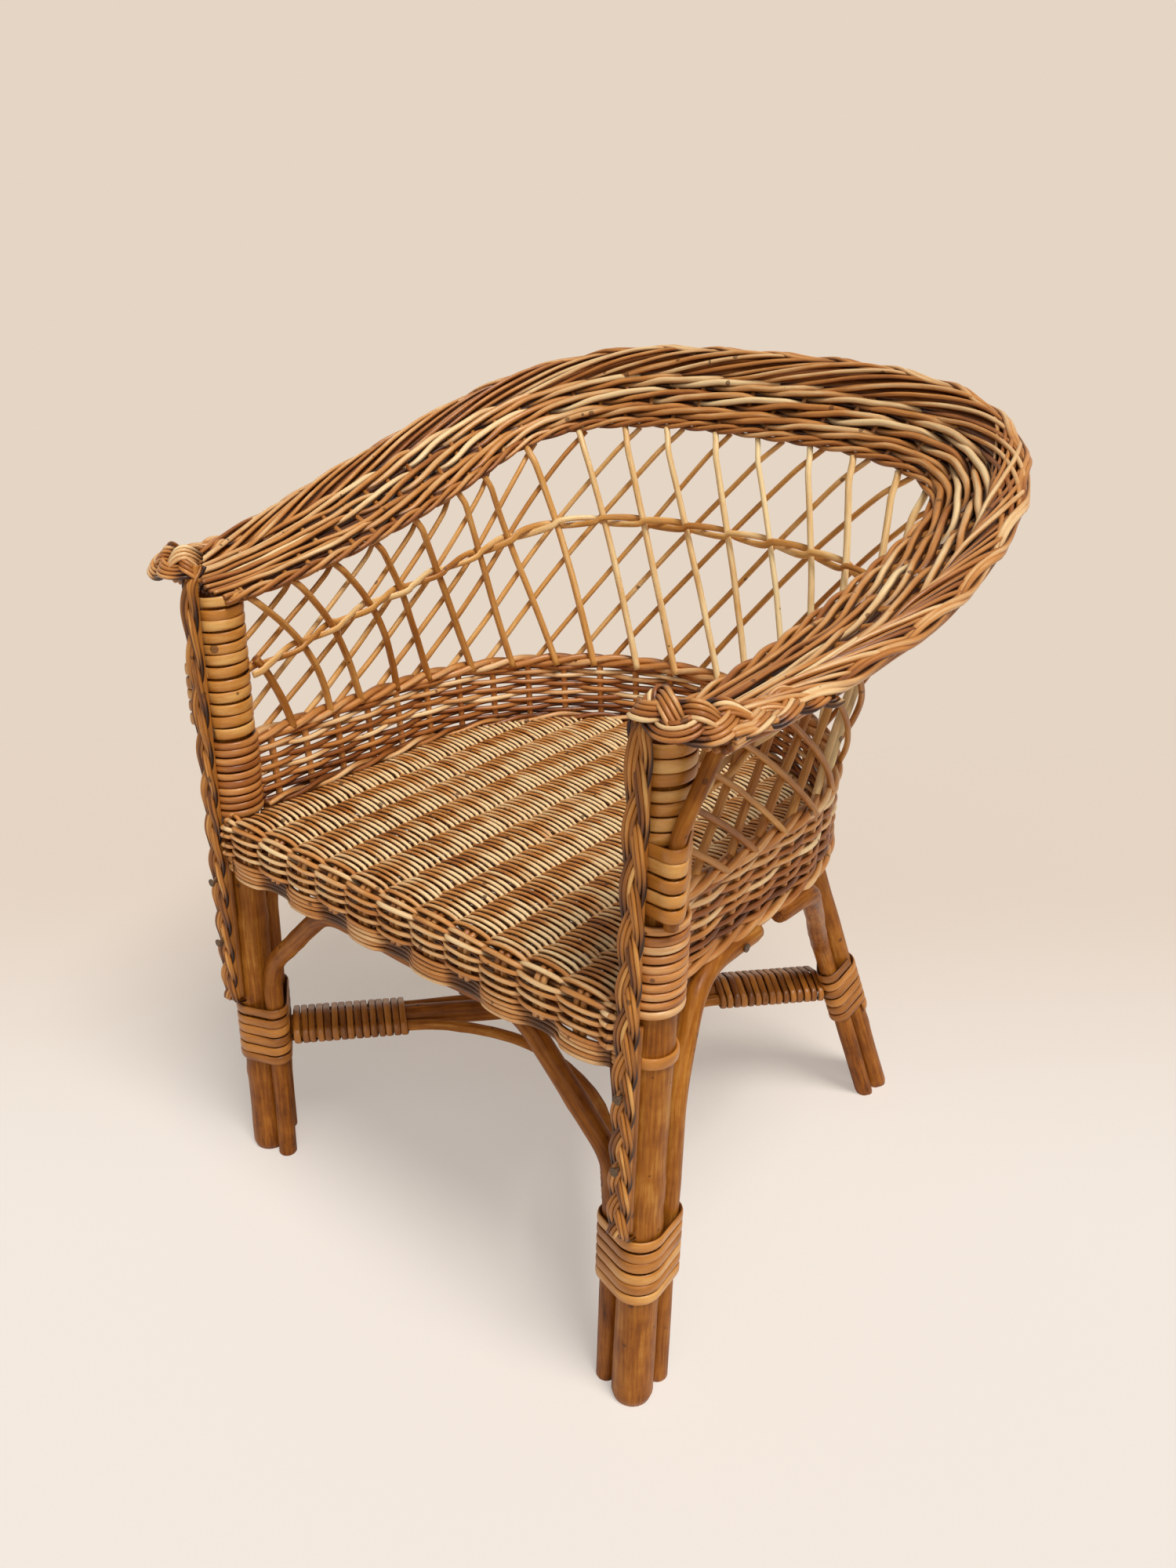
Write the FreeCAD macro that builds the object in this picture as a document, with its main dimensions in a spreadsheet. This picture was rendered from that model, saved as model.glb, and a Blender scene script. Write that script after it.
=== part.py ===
import FreeCAD, Part
import math
import os
import Sketcher

# A child's tub chair of varnished willow: a frame of round poles, bent braces and
# bound joints, a woven seat with a rolled front apron, a low woven wall round the
# seat, a lattice of two crossing sets of rods and a wide woven rim that makes the
# arms and the back. Millimetres, +Z up, the sitter looks towards -Y.

V = FreeCAD.Vector

SIZES = (
    # front posts: forward of the footprint's middle, foot and top of the axis
    ("front_setback", 171.6),
    ("post_radius", 12.5),
    ("post_seat_gap", 17.4),
    ("post_splay", 1.5),
    ("post_lean_y", 10.0),
    ("post_top_z", 413.2),
    # rear legs, splayed outward and back
    ("rear_radius", 9.0),
    ("rear_foot_x", 139.0),
    ("rear_foot_y", 355.0),
    ("rear_top_x", 85.0),
    ("rear_top_y", 285.0),
    # bent braces
    ("brace_radius", 6.5),
    ("brace_bend", 42.0),
    ("fit_gap", 0.4),
    ("arch_rise_z", 160.0),
    ("arch_knee_x", 84.0),
    ("arch_run_y", 3.0),
    ("side_front_rise_z", 205.0),
    ("side_front_knee_y", 62.0),
    ("side_front_end_y", 118.0),
    ("side_rear_rise_z", 142.0),
    ("side_rear_knee_y", 176.0),
    ("side_rear_end_y", 141.0),
    ("back_rise_z", 150.0),
    ("back_knee_x", 52.0),
    ("back_run_y", 297.0),
    # seat frame
    ("rail_radius", 9.0),
    ("rail_z", 245.0),
    ("tenon_radius", 5.5),
    ("tenon_depth", 9.0),
    ("hoop_radius", 7.0),
    ("hoop_inset", 5.6),
    ("seat_round_y", 154.0),
    # woven seat and apron
    ("seat_half_width", 153.6),
    ("seat_thickness", 9.0),
    ("apron_plait_gap", 1.5),
    ("apron_front_y", 17.0),
    ("apron_bottom_z", 233.0),
    ("seat_roll", 10.5),
    ("seat_stakes", 11),
    ("stake_flat", 6.0),
    ("stake_dip", 2.4),
    # low woven wall round the seat
    ("wall_bottom_z", 267.0),
    ("wall_height", 57.0),
    ("wall_seat_gap", 3.4),
    ("wall_thickness", 9.0),
    ("wall_flare", 5.0),
    ("wall_front_y", 26.0),
    ("wall_stakes", 28),
    # stretcher of two crossed poles and four thin bows
    ("pole_radius", 8.0),
    ("stretcher_z", 100.0),
    ("bow_radius", 4.0),
    ("pole_start", 21.9),
    ("pole_rear_start", 22.9),
    ("bow_start", 29.0),
    # windings of split willow: strip sizes and counts of turns
    ("strip_thickness", 2.0),
    ("binding_strip", 7.0),
    ("binding_pitch", 7.7),
    ("binding_turns", 6),
    ("binding_low_z", 80.0),
    ("end_wrap_strip", 4.6),
    ("end_wrap_pitch", 5.2),
    ("end_wrap_turns", 14),
    ("post_wrap_strip", 7.4),
    ("post_wrap_pitch", 8.1),
    ("upper_wrap_turns", 4),
    ("upper_wrap_low_z", 370.0),
    ("lower_wrap_turns", 4),
    ("lower_wrap_low_z", 328.0),
    ("weaver_radius", 2.4),
    ("weaver_pitch", 5.5),
    ("weaver_turns", 9),
    ("weaver_low_z", 271.0),
    ("strap_height", 6.5),
    ("strap_angle", 230.0),
    # sticks that prop the arms
    ("stick_radius", 4.0),
    ("stick_turn", 35.0),
    ("stick_low_z", 327.0),
    ("stick_bend_z", 374.0),
    ("stick_top_z", 422.1),
    ("stick_top_offset", 29.0),
    # flat plaits down the fronts of the posts
    ("plait_width", 19.0),
    ("plait_thickness", 8.0),
    ("plait_low_z", 135.0),
    ("plait_top_z", 422.9),
    # lattice rods
    ("lattice_radius", 2.6),
    ("lattice_pitch", 0.043),
    ("inner_shift", -0.078),
    ("outer_shift", 0.175),
    ("row_radius", 2.6),
    ("row_height", 0.58),
    # woven rim: inner and outer edges of its upper face
    ("rim_wall_gap", 5.6),
    ("rim_inner_round_y", 251.5),
    ("rim_inner_back", 78.6),
    ("rim_inner_front_z", 421.6),
    ("rim_inner_back_z", 494.6),
    ("rim_width", 74.9),
    ("rim_outer_round_y", 140.6),
    ("rim_outer_back", 219.5),
    ("rim_outer_front_z", 439.0),
    ("rim_outer_back_z", 546.0),
    ("rim_thickness", 9.0),
    ("border_radius", 8.5),
    ("border_turn_inset", 32.5),
    ("border_end_inset", 55.5),
    # nails
    ("low_nail_z", 182.0),
    ("high_nail_z", 228.0),
    ("side_nail_y", 98.0),
    ("arch_nail_x", 38.0),
    ("nail_radius", 1.1),
    ("nail_head_radius", 2.6),
    ("nail_head_height", 1.0),
    ("nail_stand", 0.2),
)

doc = FreeCAD.newDocument("wicker_chair")
sheet = doc.addObject("Spreadsheet::Sheet", "sizes")
for row, (alias, number) in enumerate(SIZES, start=1):
    sheet.set("A%d" % row, alias)
    sheet.set("B%d" % row, str(number))
    sheet.setAlias("B%d" % row, alias)
doc.recompute()

nodes = []


def size(alias):
    return float(sheet.get(alias))


def at(x, y, z):
    """A point given by its distance behind the front feet."""
    return V(x, y - size("front_setback"), z)


def node(obj, label):
    obj.Label = label
    nodes.append(obj)
    return obj


def turn_to(direction):
    return FreeCAD.Rotation(V(0, 0, 1), direction)


def mix(start, end, share):
    return start + (end - start) * share


def bore(base, tool, name):
    cut = doc.addObject("Part::Cut", name)
    cut.Base = base
    cut.Tool = tool
    return cut


def group(members, name):
    compound = doc.addObject("Part::Compound", name)
    compound.Links = members
    return compound


def straight_rod(name, start, end, radius_alias):
    """Round rod with flat ends between two points."""
    rod = doc.addObject("Part::Cylinder", name)
    rod.setExpression("Radius", "sizes." + radius_alias)
    rod.Height = (end - start).Length
    rod.Placement = FreeCAD.Placement(start, turn_to(end - start))
    return rod


def slab(name, low_expression, high_expression):
    """Wide level block used to cut leg ends flat."""
    box = doc.addObject("Part::Box", name)
    box.Length = 900
    box.Width = 900
    box.setExpression("Height", "%s - %s" % (high_expression, low_expression))
    box.setExpression("Placement.Base.z", low_expression)
    box.setExpression("Placement.Base.x", "-450")
    box.setExpression("Placement.Base.y", "-450")
    return box


def level_cut_leg(name, foot, top, radius_alias, block):
    """Leaning leg whose foot and top are cut level."""
    along = (top - foot).normalize()
    rod = straight_rod(name + "_round", foot - along * 20, top + along * 20, radius_alias)
    leg = doc.addObject("Part::Common", name)
    leg.Base = rod
    leg.Tool = block
    return leg


def stand_on_floor(rod, block, name):
    """Rod whose foot is cut level with the floor."""
    leg = doc.addObject("Part::Common", name)
    leg.Base = rod
    leg.Tool = block
    return leg


def bent_edges(points, bends):
    """Straight runs joined by tangent arcs."""
    edges = []
    start = points[0]
    for before, corner, after, bend in zip(points, points[1:], points[2:], bends):
        to_before = (before - corner).normalize()
        to_after = (after - corner).normalize()
        half = to_before.getAngle(to_after) / 2
        reach = bend / math.tan(half)
        first = corner + to_before * reach
        last = corner + to_after * reach
        inward = (to_before + to_after).normalize()
        middle = corner + inward * (bend / math.sin(half) - bend)
        edges.append(Part.LineSegment(start, first).toShape())
        edges.append(Part.Arc(first, middle, last).toShape())
        start = last
    edges.append(Part.LineSegment(start, points[-1]).toShape())
    return edges


def arc_between(start, apex, end):
    """Arc tangent to both legs of an equal-sided corner."""
    middle = (start + end) * 0.5
    half_chord = (start - middle).Length
    rise = (apex - middle).Length
    if rise < 1e-5:
        return Part.LineSegment(start, end).toShape()
    sag = half_chord * math.tan(math.atan2(rise, half_chord) / 2)
    return Part.Arc(start, middle + (apex - middle) * (sag / rise), end).toShape()


def arc_pair(start, start_way, end, end_way):
    """Two arcs that leave and arrive along the given directions."""
    chord = end - start
    ways = start_way + end_way
    spread = 1 - start_way.dot(end_way)
    if spread < 1e-9:
        return [Part.LineSegment(start, end).toShape()]
    along = chord.dot(ways)
    reach = (math.sqrt(along * along + 2 * spread * chord.dot(chord)) - along) / (2 * spread)
    first = start + start_way * reach
    last = end - end_way * reach
    joint = (first + last) * 0.5
    return [arc_between(start, first, joint), arc_between(joint, last, end)]


def smooth_edges(points, ways):
    edges = []
    for index in range(len(points) - 1):
        edges += arc_pair(points[index], ways[index], points[index + 1], ways[index + 1])
    return edges


def swept_rod(name, edges, radius_alias):
    """Round rod swept along joined lines and arcs."""
    path = doc.addObject("Part::Feature", name + "_path")
    path.Shape = Part.Wire(edges)
    first = edges[0]
    start = first.valueAt(first.FirstParameter)
    circle = doc.addObject("Part::Circle", name + "_section")
    circle.setExpression("Radius", "sizes." + radius_alias)
    way = first.tangentAt(first.FirstParameter)
    circle.Placement = FreeCAD.Placement(start, turn_to(way))
    sweep = doc.addObject("Part::Sweep", name)
    sweep.Sections = [circle]
    sweep.Spine = (path, ["Edge%d" % (n + 1) for n in range(len(edges))])
    sweep.Solid = True
    sweep.Frenet = False
    return sweep


def bent_rod(name, points, bends, radius_alias):
    return swept_rod(name, bent_edges(points, bends), radius_alias)


def hull_turn(circles):
    """One turn round a bundle of rods: arcs on the rods, straight runs between them."""
    if len(circles) == 1:
        u, v, r = circles[0]
        return [("arc", u, v, r, 0.0, 2 * math.pi)]
    count = len(circles)
    leave = []
    for k in range(count):
        u0, v0, r0 = circles[k]
        u1, v1, r1 = circles[(k + 1) % count]
        gap = math.hypot(u1 - u0, v1 - v0)
        leave.append(math.atan2(v1 - v0, u1 - u0) - math.acos((r0 - r1) / gap))
    turn = []
    for k in range(count):
        u0, v0, r0 = circles[k]
        u1, v1, r1 = circles[(k + 1) % count]
        begin = leave[k - 1]
        sweep = (leave[k] - begin) % (2 * math.pi)
        end = begin + sweep
        turn.append(("arc", u0, v0, r0, begin, end))
        unit = (math.cos(end), math.sin(end))
        turn.append(("run", u0 + r0 * unit[0], v0 + r0 * unit[1],
                     u1 + r1 * unit[0], v1 + r1 * unit[1]))
    return turn


def least_turn_gap(wire, pitch_length, height):
    """Least gap between neighbouring turns of a winding."""
    points = wire.discretize(Distance=2.0)
    step = wire.Length / (len(points) - 1)
    skip = int(pitch_length * 0.6 / step)
    least = 1e9
    for index in range(0, len(points), 3):
        for other in points[index + skip:index + 2 * skip]:
            least = min(least, points[index].distanceToPoint(other))
    return least - height


def winding(label, origin, axis, across, circles, low, pitch_alias, turns_alias, strip_alias, flat):
    """One unbroken strip or rod wound round a bundle; circles are (u, v, radius) on the bundle."""
    a = V(axis).normalize()
    u = (across - a * across.dot(a)).normalize()
    v = a.cross(u)
    height = size(strip_alias) if flat else 2 * size(strip_alias)
    depth = size("strip_thickness") if flat else 2 * size(strip_alias)
    grown = [(x, y, r + size("fit_gap") + depth / 2) for x, y, r in circles]
    turn = hull_turn(grown)
    length = 0.0
    for part in turn:
        if part[0] == "arc":
            length += part[3] * (part[5] - part[4])
        else:
            length += math.hypot(part[3] - part[1], part[4] - part[2])
    slope = size(pitch_alias) / length
    edges = []
    rise = low

    def spot(x, y, z):
        return origin + u * x + v * y + a * z

    def way(angle):
        return (v * math.cos(angle) - u * math.sin(angle) + a * slope).normalize()

    for _ in range(int(size(turns_alias))):
        for part in turn:
            if part[0] == "arc":
                _, cx, cy, r, begin, end = part
                pieces = max(1, math.ceil((end - begin) / (math.pi / 2) - 1e-6))
                for k in range(pieces):
                    g = begin + (end - begin) * k / pieces
                    h = begin + (end - begin) * (k + 1) / pieces
                    top = rise + slope * r * (h - g)
                    start = spot(cx + r * math.cos(g), cy + r * math.sin(g), rise)
                    stop = spot(cx + r * math.cos(h), cy + r * math.sin(h), top)
                    edges += arc_pair(start, way(g), stop, way(h))
                    rise = top
            else:
                _, x0, y0, x1, y1 = part
                top = rise + slope * math.hypot(x1 - x0, y1 - y0)
                edges.append(Part.LineSegment(spot(x0, y0, rise), spot(x1, y1, top)).toShape())
                rise = top
    wire = Part.Wire(edges)
    first = edges[0]
    start = first.valueAt(first.FirstParameter)
    ahead = first.tangentAt(first.FirstParameter)
    begin = turn[0][4]
    out = u * math.cos(begin) + v * math.sin(begin)
    up = ahead.cross(out).normalize()
    out = up.cross(ahead).normalize()
    if flat:
        corners = []
        for side, level in ((-1, -1), (1, -1), (1, 1), (-1, 1), (-1, -1)):
            corners.append(start + out * (side * depth / 2) + up * (level * height / 2))
        section = Part.makePolygon(corners)
    else:
        section = Part.Wire(Part.makeCircle(height / 2, start, ahead))
    shell = Part.BRepOffsetAPI.MakePipeShell(wire)
    if flat:
        shell.setBiNormalMode(a)
    shell.add(section, False, False)
    shell.build()
    shell.makeSolid()
    wound = doc.addObject("Part::Feature", label)
    wound.Shape = shell.shape()
    print("%s least gap between turns %.2f mm" % (label, least_turn_gap(wire, length, height)))
    return node(wound, label)


seat_half = size("seat_half_width")
post_foot_x = seat_half + size("post_seat_gap")
hoop_half = seat_half - size("hoop_inset")
wall_half = seat_half + size("wall_seat_gap")
side_run_x = hoop_half + size("hoop_radius") + size("fit_gap") + size("brace_radius")
rim_inner_half = wall_half + size("rim_wall_gap")
rim_outer_half = rim_inner_half + size("rim_width")


def post_axis(side, z):
    share = z / size("post_top_z")
    return at(side * (post_foot_x + size("post_splay") * share), size("post_lean_y") * share, z)


hoop_z = size("rail_z") + size("rail_radius") + size("hoop_radius") + size("fit_gap")
rear_top_z = hoop_z - size("hoop_radius") - size("fit_gap")
seat_low_z = hoop_z + size("hoop_radius") + size("fit_gap")
wall_top_z = size("wall_bottom_z") + size("wall_height")
brace_step = size("brace_radius") + size("fit_gap")


def rear_axis(side, z):
    share = z / rear_top_z
    return at(side * mix(size("rear_foot_x"), size("rear_top_x"), share),
              mix(size("rear_foot_y"), size("rear_top_y"), share), z)


SIDES = (("left", -1), ("right", 1))

# Nails: heads on the outside, shanks bored into the pieces they hold together.


def nail(name, head, way, length):
    """Flat-headed nail driven along a direction, its head just proud of the round it holds."""
    head = head - way * size("nail_stand")
    shank = straight_rod(name + "_shank", head, head + way * length, "nail_radius")
    cap = doc.addObject("Part::Cylinder", name + "_head")
    cap.setExpression("Radius", "sizes.nail_head_radius")
    cap.setExpression("Height", "sizes.nail_head_height")
    cap.Placement = FreeCAD.Placement(head, turn_to(way * -1))
    whole = doc.addObject("Part::Fuse", name)
    whole.Base = cap
    whole.Tool = shank
    return whole


plait_offset = size("post_radius") + 2 * size("fit_gap") + 2 * size("weaver_radius")
arch_run_z = size("rail_z") - size("rail_radius") - size("fit_gap") - size("brace_radius")
side_run_z = size("wall_bottom_z") - brace_step

nail_list = []
for word, side in SIDES:
    for z in (size("low_nail_z"), size("high_nail_z")):
        seat_of_head = post_axis(side, z) + V(0, -plait_offset - size("plait_thickness"), 0)
        nail_list.append(nail("%s_plait_nail_%d" % (word, z), seat_of_head, V(0, 1, 0), 24))
    brace_head = at(side * (side_run_x + size("brace_radius")), size("side_nail_y"), side_run_z)
    nail_list.append(nail(word + "_side_nail", brace_head, V(-side, 0, 0), 22))
    arch_head = at(side * size("arch_nail_x"), size("arch_run_y"), arch_run_z - size("brace_radius"))
    nail_list.append(nail(word + "_arch_nail", arch_head, V(0, 0, 1), 24))

# Stretcher: crossed poles let into each other where they meet.


def diagonal(front_side):
    start = post_axis(front_side, size("stretcher_z"))
    end = rear_axis(-front_side, size("stretcher_z"))
    return start, end


pole_lines = {}
for word, side in SIDES:
    front, rear = diagonal(side)
    pole_lines[side] = (front, rear, (rear - front).normalize())
left_front, left_rear, left_way = pole_lines[-1]
share = -left_front.x / left_way.x
crossing = left_front + left_way * share
nail_list.append(nail("crossing_nail", crossing + V(0, 0, size("pole_radius")), V(0, 0, -1), 14))
nails = node(group(nail_list, "nails"), "nails")

poles = {}
for word, side in SIDES:
    front, rear, way = pole_lines[side]
    poles[side] = straight_rod(word + "_pole_round", front + way * size("pole_start"),
                               rear - way * size("pole_rear_start"), "pole_radius")
for word, side, below in (("left", -1, True), ("right", 1, False)):
    half = doc.addObject("Part::Box", word + "_lap_block")
    half.Length = 120
    half.Width = 120
    half.Height = 40
    drop = 0 if below else -40
    half.Placement.Base = crossing + V(-60, -60, drop)
    lap = doc.addObject("Part::Common", word + "_lap")
    lap.Base = poles[-side]
    lap.Tool = half
    notched = bore(poles[side], lap, word + "_pole_notched")
    node(bore(notched, nails, word + "_stretcher_pole"), word + "_stretcher_pole")

# Thin bows between neighbouring legs, lying along the poles near the legs.


def bow(label, first_leg, first_way, second_leg, second_way):
    """Bow that starts beside one pole and ends beside the next one."""
    offset = size("pole_radius") + size("bow_radius") + size("fit_gap")
    up = V(0, 0, 1)
    hand = 1 if first_way.cross(second_way * -1).z > 0 else -1
    first_side = first_way.cross(up) * (-offset * hand)
    second_side = second_way.cross(up) * (offset * hand)
    start = first_leg + first_way * size("bow_start") + first_side
    end = second_leg + second_way * size("bow_start") + second_side
    run = V(end - start)
    turn = first_way.cross(second_way).z
    reach = run.cross(second_way).z / turn
    corner = start + first_way * reach
    tangent = min((corner - start).Length, (corner - end).Length)
    tangent -= size("end_wrap_pitch") * size("end_wrap_turns")
    half = (start - corner).getAngle(end - corner) / 2
    rod = bent_rod(label, [start, corner, end], [tangent * math.tan(half)], "bow_radius")
    return node(rod, label)


legs = {}
for word, side in SIDES:
    front, rear, way = pole_lines[side]
    legs[("front", side)] = (front, way)
    legs[("rear", -side)] = (rear, way * -1)
for label, first, second in (("front_bow", ("front", -1), ("front", 1)),
                             ("rear_bow", ("rear", 1), ("rear", -1)),
                             ("left_bow", ("rear", -1), ("front", -1)),
                             ("right_bow", ("front", 1), ("rear", 1))):
    bow(label, *legs[first], *legs[second])

for (row_word, side), (leg, way) in legs.items():
    word = "left" if side < 0 else "right"
    ring = size("pole_radius") + size("bow_radius") + size("fit_gap")
    bundle = [(ring, 0, size("bow_radius")), (0, 0, size("pole_radius")),
              (-ring, 0, size("bow_radius")), (0, 0, size("pole_radius"))]
    winding("%s_%s_stretcher_wrap" % (row_word, word), leg, way, way.cross(V(0, 0, 1)), bundle,
            size("bow_start") + size("end_wrap_strip") / 2, "end_wrap_pitch", "end_wrap_turns",
            "end_wrap_strip", True)

# Seat frame: rail tenoned into the posts, hoop lying on the rail.
rail_depth = size("post_lean_y") * size("rail_z") / size("post_top_z")
post_inside = post_axis(1, size("rail_z")).x - size("post_radius")
body_half = post_inside - size("fit_gap")
rail_body = straight_rod("rail_body", at(-body_half, rail_depth, size("rail_z")),
                         at(body_half, rail_depth, size("rail_z")), "rail_radius")
tenon_half = post_inside + size("tenon_depth")
rail_tenon = straight_rod("rail_tenon", at(-tenon_half, rail_depth, size("rail_z")),
                          at(tenon_half, rail_depth, size("rail_z")), "tenon_radius")
rail = doc.addObject("Part::Fuse", "rail")
rail.Base = rail_body
rail.Tool = rail_tenon
node(bore(rail, nails, "seat_front_rail"), "seat_front_rail")

width = hoop_half
round_y = size("seat_round_y")
hoop_edges = [Part.LineSegment(at(width, -2, hoop_z), at(width, round_y, hoop_z)).toShape(),
              Part.Arc(at(width, round_y, hoop_z), at(0, round_y + width, hoop_z),
                       at(-width, round_y, hoop_z)).toShape(),
              Part.LineSegment(at(-width, round_y, hoop_z), at(-width, -2, hoop_z)).toShape()]
hoop = swept_rod("hoop_rod", hoop_edges, "hoop_radius")
node(bore(hoop, nails, "seat_hoop"), "seat_hoop")

# Posts and legs.
post_block = slab("post_block", "0", "sizes.post_top_z")
rear_block = slab("rear_block", "0", "sizes.rail_z + sizes.rail_radius")
floor_block = slab("floor_block", "0", "sizes.wall_bottom_z + sizes.wall_height")
FOOT_WASTE = -15.0
for word, side in SIDES:
    foot = post_axis(side, 0)
    top = post_axis(side, size("post_top_z"))
    post = level_cut_leg(word + "_post_solid", foot, top, "post_radius", post_block)
    socket = bore(post, rail_tenon, word + "_post_socket")
    node(bore(socket, nails, "front_%s_post" % word), "front_%s_post" % word)
    leg = level_cut_leg("rear_%s_leg" % word, rear_axis(side, 0), rear_axis(side, rear_top_z),
                        "rear_radius", rear_block)
    node(leg, "rear_%s_leg" % word)

# Front arch: one rod bent up from foot to foot under the rail.
companion = size("post_radius") + brace_step


def beside_post(side, z, angle):
    """Axis of a brace standing against a front post, angle from straight out."""
    turn = math.radians(angle)
    return post_axis(side, z) + V(side * math.cos(turn), math.sin(turn), 0) * companion


def arch_points(side):
    return [beside_post(side, FOOT_WASTE, 180), beside_post(side, size("arch_rise_z"), 180),
            at(side * size("arch_knee_x"), size("arch_run_y"), arch_run_z)]


bend = size("brace_bend")
arch = bent_rod("arch_rod", arch_points(-1) + arch_points(1)[::-1], [bend] * 4, "brace_radius")
arch = stand_on_floor(arch, floor_block, "arch_on_floor")
node(bore(arch, nails, "front_arch"), "front_arch")

# Side braces: a front one beside each post, a rear one beside each rear leg.
rear_companion = size("rear_radius") + brace_step


def beside_rear(side, z, angle):
    """Axis of a brace lying along a rear leg, angle from straight out in plan."""
    along = (rear_axis(side, rear_top_z) - rear_axis(side, 0)).normalize()
    turn = math.radians(angle)
    out = V(side * math.cos(turn), math.sin(turn), 0)
    out = (out - along * out.dot(along)).normalize()
    axis = rear_axis(side, z)
    offset = out * rear_companion
    return axis + offset - along * (offset.z / along.z)


FRONT_BRACE_ANGLE = 78.0
REAR_BRACE_ANGLE = 270.0
BACK_ARCH_ANGLE = 150.0
for word, side in SIDES:
    run_x = side * side_run_x
    points = [beside_post(side, FOOT_WASTE, FRONT_BRACE_ANGLE),
              beside_post(side, size("side_front_rise_z"), FRONT_BRACE_ANGLE),
              at(run_x, size("side_front_knee_y"), side_run_z),
              at(run_x, size("side_front_end_y"), side_run_z)]
    brace = bent_rod(word + "_front_brace_rod", points, [bend, bend], "brace_radius")
    brace = stand_on_floor(brace, floor_block, word + "_front_brace_foot")
    label = word + "_front_side_brace"
    node(bore(brace, nails, label), label)
    points = [beside_rear(side, FOOT_WASTE, REAR_BRACE_ANGLE),
              beside_rear(side, size("side_rear_rise_z"), REAR_BRACE_ANGLE),
              at(run_x + side, size("side_rear_knee_y"), side_run_z),
              at(run_x, size("side_rear_end_y"), side_run_z)]
    label = word + "_rear_side_brace"
    brace = bent_rod(word + "_rear_brace_rod", points, [bend, bend * 0.6], "brace_radius")
    node(stand_on_floor(brace, floor_block, label), label)

back_run_z = rear_top_z - brace_step


def back_points(side):
    return [beside_rear(side, FOOT_WASTE, BACK_ARCH_ANGLE),
            beside_rear(side, size("back_rise_z"), BACK_ARCH_ANGLE),
            at(side * size("back_knee_x"), size("back_run_y"), back_run_z)]


back = bent_rod("back_rod", back_points(-1) + back_points(1)[::-1], [bend] * 4, "brace_radius")
node(stand_on_floor(back, floor_block, "rear_arch"), "rear_arch")

# Bindings of split willow round each leg and its braces.
for word, side in SIDES:
    axis = post_axis(side, 200) - post_axis(side, 0)
    turn = math.radians(FRONT_BRACE_ANGLE)
    brace = (side * companion * math.cos(turn), companion * math.sin(turn), size("brace_radius"))
    inner = (-side * companion, 0, size("brace_radius"))
    post = (0, 0, size("post_radius"))
    bundle = [post, brace, inner] if side > 0 else [post, inner, brace]
    winding("front_%s_leg_binding" % word, post_axis(side, 0), axis, V(1, 0, 0), bundle,
            size("binding_low_z") + size("binding_strip") / 2, "binding_pitch", "binding_turns",
            "binding_strip", True)
    axis = rear_axis(side, 200) - rear_axis(side, 0)
    unit = V(axis).normalize()
    across = (V(1, 0, 0) - unit * unit.x).normalize()
    beyond = unit.cross(across)
    bundle = [(0, 0, size("rear_radius"))]
    for angle in (BACK_ARCH_ANGLE, REAR_BRACE_ANGLE):
        spot = beside_rear(side, 100, angle) - rear_axis(side, 100)
        bundle.append((spot.dot(across), spot.dot(beyond), size("brace_radius")))
    if side < 0:
        bundle.reverse()
    winding("rear_%s_leg_binding" % word, rear_axis(side, 0), axis, V(1, 0, 0), bundle,
            size("binding_low_z") + size("binding_strip") / 2, "binding_pitch", "binding_turns",
            "binding_strip", True)

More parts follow.
